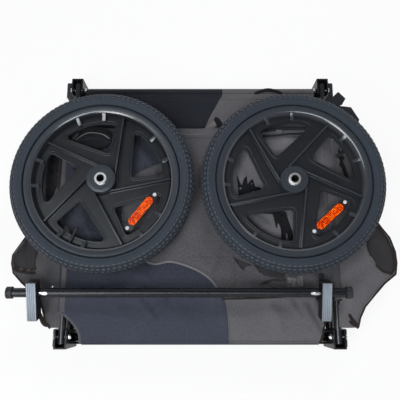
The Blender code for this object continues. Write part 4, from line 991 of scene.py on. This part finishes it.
# The wide strap beside the right axle block also stands for the block's shadow, as painted shade.
straps("near_wall_dark_straps", [(7.5, 4.2, (134, 161.2), (185, 166), (233, 166.8)),
    (11, 1.6, (250.5, -148), (249, -190), (246.5, -238)), (4.5, 3, (135.4, 148), (190, 152.5), (245, 157))],
       WEBBING, "near_side")
straps("near_wall_silver_tab", [(8, 5.6, (166.5, 160), (172.5, 159.2), (179, 159.8))], CRINKLED, "near_side",
       slot="grey_cloth")
folds("near_wall_brown_edges", [(12, 1.6, (-288, 164), (-287, 145), (-286, 120)),
    (4, 2, (70, -115), (83, -133), (91.5, -142)), (6, 2, (-276, 76), (-266, 67.1), (-270, 33))], BROWN_BINDING,
      "near_side")


BUNDLE_X, BUNDLE_Y, BUNDLE_TOP = -0.232, 0.1435, 0.1042


def bundle_height(x, y):
    """A slack fold of lining bunched up inside the left wheel."""
    away = math.hypot((x - BUNDLE_X) / 0.041, (y - BUNDLE_Y) / 0.029)
    turn = math.atan2(y - BUNDLE_Y, x - BUNDLE_X)
    swell = max(1 - away * away, 0) ** 0.5 * 0.0085
    return min(near_height(x, y) + 0.0012 + swell + 0.0016 * math.sin(9 * away + 1.5 * turn) * (away > 0.2),
               BUNDLE_TOP)


cloth("bunched_lining", rounded(mm((-273.5, 133), (-264, 120), (-240, 115), (-210, 116.5), (-191.5, 128), (-191.5,
    150), (-205, 169), (-235, 171), (-264, 160))[::-1], 0.01, 3), bundle_height, LINING, "black_cloth", "near_side",
      step=0.01, rests_on=["near_wall_black"], thick=0.0007)
piped("bunched_piping", through(mm((-270, 139.5), (-256, 150), (-235, 154.5), (-212, 150), (-196, 140)), 5),
      bundle_height, 0.001, PALE_PIPING, "near_side", "grey_cloth", lift=0.0012)
piped("bunched_binding", through(mm((-264, 130), (-240, 140), (-215, 138), (-198, 130)), 5), bundle_height, 0.0009,
      BLACK_BINDING, "near_side", lift=0.0012)
cloth("crinkled_patch", rounded(mm((180, -154.5), (180, -176.5), (212.5, -174.5), (213.5, -153.5)), 0.003, 3),
      lambda x, y: near_height(x, y) + 0.003 + 0.005 * ripple(x, y, 0.006, 4.0), CRINKLED, "grey_cloth",
      "near_side", step=0.004, rests_on=["near_wall_grey"], thick=0.0005)


def walk(route):
    """A route as a function of the length run along it, which gives the point and the direction there."""
    route = [Vector(p) for p in route]
    runs = [0.0]
    for a, b in zip(route, route[1:]):
        runs.append(runs[-1] + (b - a).length)

    def at(run):
        k = next((j for j in range(len(runs) - 2) if run < runs[j + 1]), len(runs) - 2)
        share = (run - runs[k]) / (runs[k + 1] - runs[k])
        here = (route[k + 1] - route[k]).normalized()
        before = (route[k] - route[k - 1]).normalized() if k else here
        after = (route[k + 2] - route[k + 1]).normalized() if k + 2 < len(route) else here
        turn = before.lerp(here, 0.5 + share) if share < 0.5 else here.lerp(after, share - 0.5)
        return route[k].lerp(route[k + 1], min(max(share, 0), 1)), turn.normalized()

    return at, runs[-1]


def strip(name, long, wide, shape, finish, slot, rides=None, steps=(60, 8), thick=0.0009,
          rests_on=(), stands_for=(), blend=None, flip=False):
    """A strip of cloth cut long by wide, each point of which shape() puts in its place."""
    form = bmesh.new()
    bmesh.ops.create_grid(form, x_segments=steps[0], y_segments=steps[1], size=0.5)
    bmesh.ops.scale(form, vec=(long, wide, 1), verts=form.verts)
    bmesh.ops.translate(form, vec=(long / 2, wide / 2, 0), verts=form.verts)
    lay_out(form)
    for v in form.verts:
        v.co = shape(v.co.x, v.co.y)
    if flip:
        bmesh.ops.reverse_faces(form, faces=form.faces)
    made = piece(name, form, finish, slot, rides, stands_for, 180, blend)
    thicken(made, thick)
    list(rests_on)


def sleeve(name, route, radius, finish, slot, rides, rests_on):
    """Cloth wrapped round a tube: from the wall's edge over it, round its outer side and under it."""
    at, long = walk(route)
    top, flat = math.radians(90), 0.0065
    arc = flat + math.radians(200) * radius

    def shape(u, v):
        point, along = at(u)
        side = along.cross(Vector((0, 0, 1)))
        angle = top - max(v - flat, 0) / radius
        wrinkle = radius + 0.0004 * ripple(u, v, 0.012, 5.0)
        rise = wrinkle * math.sin(angle) * (1.24 if angle > 0 else 1)
        return point - (wrinkle * math.cos(angle) - max(flat - v, 0)) * side + Vector((0, 0, rise))

    strip(name, long, arc, shape, finish, slot, rides, (round(long / 0.008), 14), 0.0008, rests_on=rests_on,
          flip=True)


def bent_route(points, radius, steps=8):
    """Straight runs with round bends between them."""
    points = [Vector(p) for p in points]
    line = [points[0]]
    for before, corner, after in zip(points, points[1:], points[2:]):
        back, ahead = (before - corner).normalized(), (after - corner).normalized()
        half = back.angle(ahead) / 2
        middle = corner + (back + ahead).normalized() * radius / math.sin(half)
        first = corner + back * radius / math.tan(half) - middle
        last = corner + ahead * radius / math.tan(half) - middle
        line += [middle + first.slerp(last, k / steps).normalized() * radius for k in range(steps + 1)]
    return line + [points[-1]]


# Frames, base and corners

def near_route(left_end, right_end):
    """The near frame's tube from its left end round to its right end."""
    ends = [(-TUBE_X, left_end, 0.08), (-TUBE_X, 0.158, 0.08), (TUBE_X, 0.158, 0.08), (TUBE_X, right_end, 0.08)]
    return bent_route(ends, 0.03, 12)


NEAR_ROUTE = near_route(-0.29, -0.29)
FAR_HALF = [(TUBE_X, 0.29), (TUBE_X, 0.226), (0.2635, 0.176), (0.2635, -0.158)]
FAR_ROUTE = bent_route([(-x, y, 0.05) for x, y in FAR_HALF] + [(x, y, 0.05) for x, y in FAR_HALF[::-1]], 0.03, 12)
for name, route, body in (("near_frame", NEAR_ROUTE, "near_side"), ("far_frame", FAR_ROUTE, "far_side")):
    piece(name + "_tube", swept(route, TUBE_R, 24), BLACK_PAINT, "black_paint", body, (name,), 60)

for name in ("near_rail", "far_rail", "left_side_rail", "right_side_rail"):
    refined(name, BLACK_PAINT, "black_paint", "base", 0.0008, 40)
refined("floor_board", FLOOR_BOARD, "floor_board", "base", 0.001)
for end in ("left", "right"):
    for wall in ("near", "far"):
        refined(f"{wall}_{end}_bracket", SATIN_PAINT, "black_paint", "base", 0.0007)
        refined(f"{wall}_{end}_foot", FOOT_PLASTIC, "black_plastic", "base", 0.0005)
        side = -1 if end == "left" else 1
        hinge = NEAR_HINGE if wall == "near" else FAR_HINGE
        outward = placed(side * TUBE_X, hinge.y, hinge.z, side * math.pi / 2, "Y")
        head = mm((0, -17.6), (3, -17.6), (3, 13.1), (5.5, 13.1), (5.5, 14.8), (5.1, 16.2), (4.1, 17), (2.4, 17.1))
        bolt = turned(head + [(0.0024, 0.0152), (0, 0.015)], 24, closed=False)
        piece(f"{wall}_{end}_button_bolt", set_in(bolt, outward), CHROME, "chrome", "base",
              (f"{wall}_{end}_hinge_bolt",))
        nut = bmesh.new()
        bmesh.ops.create_cone(nut, cap_ends=True, segments=6, radius1=0.0055, radius2=0.0055, depth=0.004)
        bevelled(nut, nut.edges, 0.0004)
        bmesh.ops.translate(nut, vec=(0, 0, -0.0152), verts=nut.verts)
        dome = turned(mm((4, -17), (4, -18.4), (3.4, -20), (2, -20.9), (0, -21.1)), 24, closed=False)
        piece(f"{wall}_{end}_dome_nut", set_in(together(nut, dome), outward), CHROME, "chrome", "base",
              (f"{wall}_{end}_hinge_nut",))

for name, y in (("near", -0.11), ("far", 0.11)):
    lay = placed(0, y, 0.0188, math.pi / 2, "Y")
    bar = mm((0, -256), (6.2, -256), (7, -255.2), (7, 255.2), (6.2, 256), (0, 256))
    piece(name + "_roof_tube", set_in(turned(bar, 24, closed=False), lay), BLACK_PAINT, "black_paint", "base",
          (name + "_roof_bar",))
    clip = mm((7.2, -230), (8.9, -230), (9.5, -230.8), (9.5, -259), (8.8, -260), (3, -260), (3, -257.5),
              (7.2, -257.5))
    clips = [set_in(turned(clip, 24), Matrix.Diagonal((1, 1, s, 1))) for s in (1, -1)]
    piece(name + "_roof_clips", set_in(together(*clips), lay), FOOT_PLASTIC, "black_plastic", "base")

# Cloth round the near frame's tube, and the strips that close the base
sleeve("near_frame_sleeve", near_route(-0.227, -0.203), 0.0092, GREY_CLOTH, "grey_cloth", "near_side",
       rests_on=["near_frame_tube"])


SILL_LONG, MAT_WIDE, MAT_DEEP = 0.538, 0.534, 0.533


def sill_shape(low, high, y, side):
    def shape(u, v):
        wave = 0.001 * ripple(u, v, 0.09, 9.0) * min(v / 0.01, 1) * (v < high - low)
        return Vector((u - SILL_LONG / 2, y - side * (0.0006 + abs(wave)), low + v))
    return shape


strip("near_base_strip", SILL_LONG, 0.064, sill_shape(0.004, 0.068, -0.2889, 1), BLACK_CLOTH, "black_cloth", "base",
      (90, 12), 0.0009, ["near_rail"], ("near_sill",))
strip("far_base_strip", SILL_LONG, 0.02, sill_shape(0.004, 0.024, 0.2889, -1), BLACK_CLOTH, "black_cloth", "base",
      (90, 6), 0.0009, ["far_rail"], ("far_sill",), flip=True)
for name, y, top in (("near", -0.2899, 0.068), ("far", 0.2899, 0.024)):
    line = [(-0.268, y, top), (0, y - 0.0001, top + 0.0001), (0.268, y, top)]
    piece(name + "_strip_binding", swept(line, 0.0012, 8, 1.6), BLACK_BINDING, "black_cloth", "base")


def draped(line):
    """A strip whose short way follows a line of (y, z) points."""
    at, long = walk([(0, *p) for p in through(line, 4)])

    def shape(u, v):
        point, along = at(min(v, long - 1e-6))
        sag = 0.0006 * ripple(u, v, 0.05, 14.0) * math.sin(math.pi * min(v / long, 1))
        return Vector((u, point.y, point.z + sag))
    return shape, long


NEAR_DROP = mm((-286.8, 89.7), (-290, 87.5), (-290.8, 80), (-290.4, 69))
FAR_DROP = mm((264, 60.4), (271.5, 59.6), (276.5, 53), (283, 39), (290, 26.2), (291.4, 22.5))
for name, start, long, line, body, finish, slot, flip in (
        # each reaches from its wall's hem down to the base
        ("near_hem_drop", -0.24, 0.48, NEAR_DROP, "near_side", BLACK_CLOTH, "black_cloth", True),
        ("far_hem_drop_black", -0.262, 0.3128, FAR_DROP, "far_side", FAR_CLOTH, "black_cloth", False),
        ("far_hem_drop_grey", 0.051, 0.211, FAR_DROP, "far_side", GREY_CLOTH, "grey_cloth", False)):
    shape, deep = draped(line)
    strip(name, long, deep, lambda u, v: shape(u, v) + Vector((start, 0, 0)), finish, slot, None,
          (round(long / 0.006), 10), 0.0008,
          ["near_base_strip" if body == "near_side" else "far_rail_finished"],
          blend=(body, "base", (0, *line[0]), (0, *line[-1])), flip=flip)


def mat_shape(u, v):
    channel = abs(math.sin(math.pi * u / 0.0445)) ** 0.5 * abs(math.sin(math.pi * v / 0.0444)) ** 0.5
    return Vector((u - MAT_WIDE / 2, v - MAT_DEEP / 2, 0.0066 + 0.0011 * channel))


strip("quilted_floor_mat", MAT_WIDE, MAT_DEEP, mat_shape, GREY_CLOTH, "grey_cloth", "base", (108, 108), 0.0012,
      ["floor_board"], ("floor_mat",))
tapes = [block((0.538, 0.0056, 0.0016), (0, side * 0.2664, 0.0094), 0.0004) for side in (-1, 1)]
tapes += [block((0.0086, 0.52, 0.0016), (side * 0.2683, 0, 0.0094), 0.0004) for side in (-1, 1)]
piece("floor_edge_tape", together(*tapes), BLACK_BINDING, "black_cloth", "base")

# Far wall

FAR_CREASES = creases((-235, 250, -120, 180, 14, 2.2), (127, 258, 189, 250, 12, 3), (20, 180, 100, 240, 16, 1.8),
    (-60, 262, -10, 190, 12, 1.6), (215, 255, 250, 190, 12, 2.4))


def far_height(x, y):
    rise = creased(x, y, FAR_CREASES)
    rise += 0.001 * ripple(x, y, 0.06, 11.0) + 0.0005 * ripple(x, y, 0.022, 12.0)
    loose = min(max(min(FAR_HEM_Y - y, y - FAR_TOP_Y, FAR_X - abs(x)) / 0.025, 0), 1)
    return FAR_COVER_Z + 0.0005 + min(max(rise * loose, 0), 0.0045)


far_seam = through([(0.0515, FAR_HEM_Y), (0.051, 0.262), (0.034, 0.23), (0.011, 0.181), (-0.02, 0.06),
    (-0.046, FAR_TOP_Y)], 5)
cloth("far_wall_black", [(-FAR_X, FAR_HEM_Y), (-FAR_X, FAR_TOP_Y)] + far_seam[::-1], far_height, FAR_CLOTH,
      "black_cloth", "far_side", ("far_cover_black",), step=0.022, rests_on=["far_frame"])
cloth("far_wall_grey", far_seam + [(FAR_X, FAR_TOP_Y), (FAR_X, FAR_HEM_Y)], far_height, GREY_CLOTH, "grey_cloth",
      "far_side", ("far_cover_grey",), step=0.022, rests_on=["far_frame"])
stitched("far_hem_stitches", [[(-0.255, 0.265), (0.255, 0.265)], [(-0.255, 0.249), (0.255, 0.249)]], far_height,
         "far_side")
piped("far_seam_cord", far_seam, far_height, 0.0009, BLACK_BINDING, "far_side", lift=0.0006)
piped("far_hem_binding", mm((-262, 269), (0, 269.2), (262, 269)), far_height, 0.0014, BLACK_BINDING, "far_side",
      flat=0.8)

straps("far_pale_strap", [(12, 3, (12, 173), (29, 186), (44, 198.5))], CRINKLED, "far_side", far_height,
       "grey_cloth")
folds("far_dark_folds", [(13, 4, (34, 205), (43, 190), (52, 174)), (10, 2, (124, 263), (156.5, 272), (190, 264)),
    (7, 2, (-256, 256), (-235, 265), (-210, 256))], LINING, "far_side", far_height)

# End flaps

# How far out of the wall's edge and how far up it each crease runs
FLAP_CREASES = creases((20, -140, 90, -110, 20, 4.6), (10, -60, 70, -20, 16, 3.4), (10, -215, 60, -180, 14, 3),
    (10, 50, 40, 20, 12, 2.6))
LEFT_FLAP_CREASES = creases((66, -85, 69, -150, 5, 3), (84, -85, 87, -150, 5, 3.4), (97, -85, 100, -150, 5, 2.4))


def flap_height(x, y):
    """An end flap droops away from its wall, in soft folds."""
    out = abs(x) - FLAP_X
    fold = creased(out, y, FLAP_CREASES) + (x < 0) * creased(out, y, LEFT_FLAP_CREASES)
    fold += 0.0022 * ripple(x, y, 0.045, 2.0) + 0.001 * ripple(x, y, 0.016, 5.0)
    return COVER_Z + 0.0004 - 0.26 * max(out, 0) + max(fold, 0) * min(max(out / 0.02, 0), 1)


def flap_edge(side, points):
    return [(side * (FLAP_X + out), y) for out, y in points]


# How far out of the wall's edge and how far up it the points of each flap and its window lie
LEFT_EDGE = mm((0, -258), (14.5, -258), (24, -243), (38, -200), (83, -166), (104, -145), (109, -125), (107.5, -108),
    (83, -72), (60, -30), (56, 30), (52, 80), (42, 115), (20, 135), (0, 138))
LEFT_WINDOW = mm((52, -100), (52, -139), (75, -140), (98.5, -133), (103, -124), (102, -110), (78, -75), (60, -48),
    (52, -56))
RIGHT_EDGE = mm((0, -258), (31, -258), (37, -238), (49.7, -215), (74.5, -190), (98.5, -166.8), (125.5, -147.5),
    (130, -124), (128.5, -100), (118, -70), (99.5, -48), (80.5, -23), (67.5, 30), (54, 85), (42, 115), (20, 135),
    (0, 138))
RIGHT_WINDOW = mm((70, -50), (64, -90), (68, -108.5), (82, -131.6), (98, -143), (115, -147.5), (121, -140),
    (124, -122), (122.5, -101), (112.5, -73), (95, -50), (78, -30))
for end, side, edge, window in (("left", -1, LEFT_EDGE, LEFT_WINDOW), ("right", 1, RIGHT_EDGE, RIGHT_WINDOW)):
    body = end + "_flap"
    bend = ("near_side", body, (side * 0.287, 0, 0.088), (side * 0.301, 0, 0.086))
    low = [(side * 0.2905, -0.205), (side * 0.2835, -0.212), (side * 0.2835, -0.258)]
    high = [(side * 0.2875, 0.144), (side * 0.284, 0.138), (side * 0.2905, 0.124)]
    outline = rounded([*low, *flap_edge(side, edge[1:-1]), *high], 0.004, 3)
    free = [p for p in outline if abs(p[0]) > FLAP_X]
    pane = rounded(flap_edge(side, window), 0.004, 3)
    if side < 0:
        outline, pane = outline[::-1], pane[::-1]
    cloth(end + "_flap_cloth", outline, flap_height, FLAP_CLOTH[end], "grey_cloth", None, (end + "_end_flap",),
          0.014, 2, (pane,), rests_on=["near_frame_sleeve"], blend=bend)
    cloth(end + "_flap_netting", pane, lambda x, y: flap_height(x, y) - 0.0002, NETTING, "black_cloth", None,
          (end + "_end_flap_window",), 0.012, 2, rests_on=[end + "_flap_cloth"], blend=bend,
          thick=0.0005)
    piped(end + "_window_binding", pane, flap_height, 0.0027, BROWN_BINDING, None, flat=0.4, blend=bend,
          closed=True)
    piped(end + "_flap_binding", free, flap_height, 0.0024, BROWN_BINDING, None, flat=0.6, lift=0.0005, blend=bend)
    stitched(end + "_flap_stitches", [beside(free, side * -0.0055), beside(pane + pane[:1], side * 0.0045)],
             flap_height, None, blend=bend)

patch("left_flap_slack", mm((-333, 112), (-302, 110), (-300, 90), (-311, 62), (-303, 56), (-312, 30), (-318, -6),
    (-330, -6), (-334, 50)), LINING, "left_flap", flap_height, 0.003, 0.003, "left_flap_cloth")
folds("left_flap_edges", [(7, 3, (-302, 108), (-304, 70), (-304.2, 26)),
    (6, 1.6, (-313, 64), (-306, 48), (-313, 30)), (10, 1.2, (-333, -224), (-320, -248), (-306, -254))],
      BROWN_BINDING, "left_flap", flap_height)
# A dark band along the left window's lower edge: binding, and painted shade of the axle block.
straps("left_window_low_band", [(6, 3.2, (-394, -133), (-390, -140), (-370, -145), (-345, -147))], BROWN_BINDING,
       "left_flap", flap_height)
folds("right_flap_edges", [(8, 1.4, (304, -230), (313, -244), (323, -252)),
    (6, 1.4, (304, -244), (311, -250), (322, -256)), (9, 1.2, (414, -90), (417.5, -115), (417, -142))],
      BROWN_BINDING, "right_flap", flap_height)
patch("right_flap_slack", mm((302, 126), (306, 115), (313, 121), (309, 108), (316, 102), (311, 95), (317, 80),
    (325, 48), (320, 43), (313, 60), (307, 78), (302, 86), (305, 96), (301, 105)), LINING, "right_flap",
      flap_height, 0.0025, 0.002, "right_flap_cloth")

# Webbing at the far right corner

def webbing(name, outline, low, stands_for):
    form = cut_cloth(outline, 0.01, 1)
    for v in form.verts:
        v.co.z = low + 0.0002 + 0.0008 * ripple(v.co.x, v.co.y, 0.016, 7.0) ** 2
    made = piece(name, form, WEBBING, "webbing", "far_side", stands_for, 180)
    thicken(made, 0.0016)
    wide, deep = span(outline)[:2]
    area = max(abs(twice_area(outline)) / 2, LEAST_SHARE * wide * deep)


webbing("strap_end", rounded(mm((290.8, 256), (290.8, 235), (326.8, 239), (336.6, 255), (320.6, 272), (304.6, 257)),
    0.002, 3), 0.0503, ("strap_tail",))
webbing("strap_bow", rounded(mm((290.8, 250), (290.8, 229), (319.8, 217), (342.8, 213), (353.8, 199), (361.8, 192),
    (365.8, 205), (348.8, 235), (324.8, 238)), 0.002, 3), 0.0475, ("closing_strap",))

# Axle, its blocks, buttons and painted glints, and the press studs

AXLE_X, AXLE_Y, AXLE_HALF, BLOCK_X, BLOCK_LEAN = -0.041, -0.1885, 0.344, 0.2905, math.radians(18)
ALONG = placed(AXLE_X, AXLE_Y, WHEEL_Z, math.pi / 2, "Y")
tube = mm((0, -299), (6, -299), (6, -343.4), (6.6, -344), (8.7, -344), (9.3, -343.4), (9.3, 343.4), (8.7, 344),
          (6.6, 344), (6, 343.4), (6, 299), (0, 299))
piece("axle_rod", set_in(turned(tube, 40, closed=False), ALONG), AXLE_PAINT, "black_paint", "axle", ("axle_tube",))
ring = mm((9.6, 0), (11.2, 0), (12, 0.8), (12, 4), (11.6, 4.4), (11.6, 5.4), (12, 5.8), (12, 11.7), (11.2, 12.5),
          (9.6, 12.5))
for end, side in (("left", -1), ("right", 1)):
    lay = placed(side * AXLE_HALF + AXLE_X, AXLE_Y, WHEEL_Z, -side * math.pi / 2, "Y")
    piece(end + "_axle_ring", set_in(turned(ring, 40), lay), FOOT_PLASTIC, "black_plastic", "axle",
          (end + "_axle_collar",))
    refined(end + "_axle_block", ALUMINIUM, "aluminium", "axle", 0.0005)
    lean = placed(side * BLOCK_X + AXLE_X, AXLE_Y, WHEEL_Z, BLOCK_LEAN, "X")
    # Satin black plates on the aluminium block's sides and end: painted dark reflection and shade, which the bare
    # aluminium shows there.
    painted_dark_side = plate(mm((-52.7, -11.8), (23.1, -11.8), (23.1, 17.1), (-52.7, 17.1)), 0, 0.0008, 0.0002,
                  [circle(0.0097, 40)])
    set_in(painted_dark_side, lean @ Matrix.Translation((-side * 0.00925, 0, 0))
           @ Matrix(((0, 0, -side, 0), (1, 0, 0, 0), (0, 1, 0, 0), (0, 0, 0, 1))))
    cover = set_in(block((0.0179, 0.0008, 0.029), (0, 0.0239, 0.0027), 0.0002), lean)
    piece(end + "_axle_block_painted_dark_faces", together(painted_dark_side, cover), SATIN_PAINT, "black_plastic", "axle")
# Pale polished ovals on the axle's top: painted glints, where the real tube shines as it narrows by the blocks.
for name, x, long in (("left", -0.308, 0.015), ("right", 0.229, 0.02)):
    clip = mm((0, 9.4), (3, 9.4), (3.2, 9.8), (2.9, 10.2), (0, 10.3))
    lens = set_in(turned(clip, 32, closed=False), Matrix.Translation((x, AXLE_Y - 0.002, WHEEL_Z))
                  @ Matrix.Diagonal((long / 0.0064, 1, 1, 1)))
    piece(name + "_axle_painted_glint", lens, SLEEVE_METAL, "aluminium", "axle")
for name, x in (("left", -0.3155), ("right", 0.2285)):
    button = turned(mm((0, 7.5), (2.6, 7.5), (2.6, 10.2), (2, 11.1), (1, 11.5), (0, 11.6)), 20, closed=False)
    piece(name + "_spring_button", set_in(button, Matrix.Translation((x, AXLE_Y, WHEEL_Z - 0.0006))
        @ Matrix.Diagonal((1.9, 0.75, 1, 1))), CHROME, "chrome", "axle")
for name, x, y, body, height in (("wall", -0.195, -0.06, "near_side", near_height),
    ("flap", -0.305, -0.176, "left_flap", flap_height)):
    stud = turned(mm((0, 0.2), (3.4, 0.2), (3.6, 1), (3, 1.9), (1.2, 2.4), (0, 2.5)), 20, closed=False)
    piece(name + "_press_stud", set_in(stud, Matrix.Translation((x, y, height(x, y) + 0.0006))), CHROME, "chrome",
          body)

# Floor, backdrop and light

def pale(name, share):
    """A pale surface that the camera, gloss and glass see as white, and that keeps a shadow."""
    made = Finish(name, Base_Color=(0.82, 0.82, 0.82, 1), Roughness=0.9, Specular_IOR_Level=0.1)
    light = [made.node("ShaderNodeLightPath", out=k) for k in (0, 3, 6)]
    seen = light[0].sum("MAXIMUM", light[0], light[1])
    seen = seen.sum("MAXIMUM", seen, light[2])
    glow = made.node("ShaderNodeEmission", {}, {"Color": (1, 1, 1, 1), "Strength": 1.0})
    mixed = made.node("ShaderNodeMixShader", {}, {0: seen * share, 2: glow})
    made.tree.links.new(made.shader.outputs[0], mixed.socket.node.inputs[1])
    made.tree.links.new(mixed.socket, made.tree.nodes["Material Output"].inputs[0])
    return made.material


def stage(name, form, finish):
    mesh = bpy.data.meshes.new(name)
    form.to_mesh(mesh)
    form.free()
    mesh.materials.append(finish)
    made = bpy.data.objects.new(name, mesh)
    scene.collection.objects.link(made)


STAGE_R, STAGE_HIGH = 14, 9
ground = bmesh.new()
bmesh.ops.create_circle(ground, cap_ends=True, segments=64, radius=STAGE_R)
stage("floor", ground, pale("pale_floor", 0.88))
wall = bmesh.new()
bmesh.ops.create_circle(wall, segments=64, radius=STAGE_R)
risen = bmesh.ops.extrude_edge_only(wall, edges=wall.edges[:])["geom"]
bmesh.ops.translate(wall, vec=(0, 0, STAGE_HIGH), verts=[g for g in risen if isinstance(g, bmesh.types.BMVert)])
stage("backdrop", wall, pale("pale_backdrop", 1.0))


def lamp(name, place, size, power, deep=None, mirrored=True, tint=(1, 1, 1)):
    light = bpy.data.lights.new(name, "AREA")
    light.shape, light.size, light.energy = "RECTANGLE" if deep else "DISK", size, power
    light.color = tint
    if deep:
        light.size_y = deep
    made = bpy.data.objects.new(name, light)
    scene.collection.objects.link(made)
    made.visible_glossy = mirrored
    made.location = place
    made.rotation_euler = (Vector(place) - Vector((0, 0, 0.05))).to_track_quat("Z", "Y").to_euler()


lamp("key_softbox", (-0.94, -1.15, 1.8), 0.9, 18.5)
lamp("overhead_strip", (-0.35, -0.5, 1.9), 2.1, 21.5, 0.55, tint=(0.88, 0.95, 1.0))
lamp("far_softbox", (0.7, 1.5, 1.8), 0.9, 22, mirrored=False)

sky = bpy.data.worlds.new("studio")
scene.world = sky
sky.use_nodes = True
sky.node_tree.nodes["Background"].inputs[0].default_value = (1, 1, 1, 1)
sky.node_tree.nodes["Background"].inputs[1].default_value = 0.16
scene.view_settings.view_transform = "Standard"
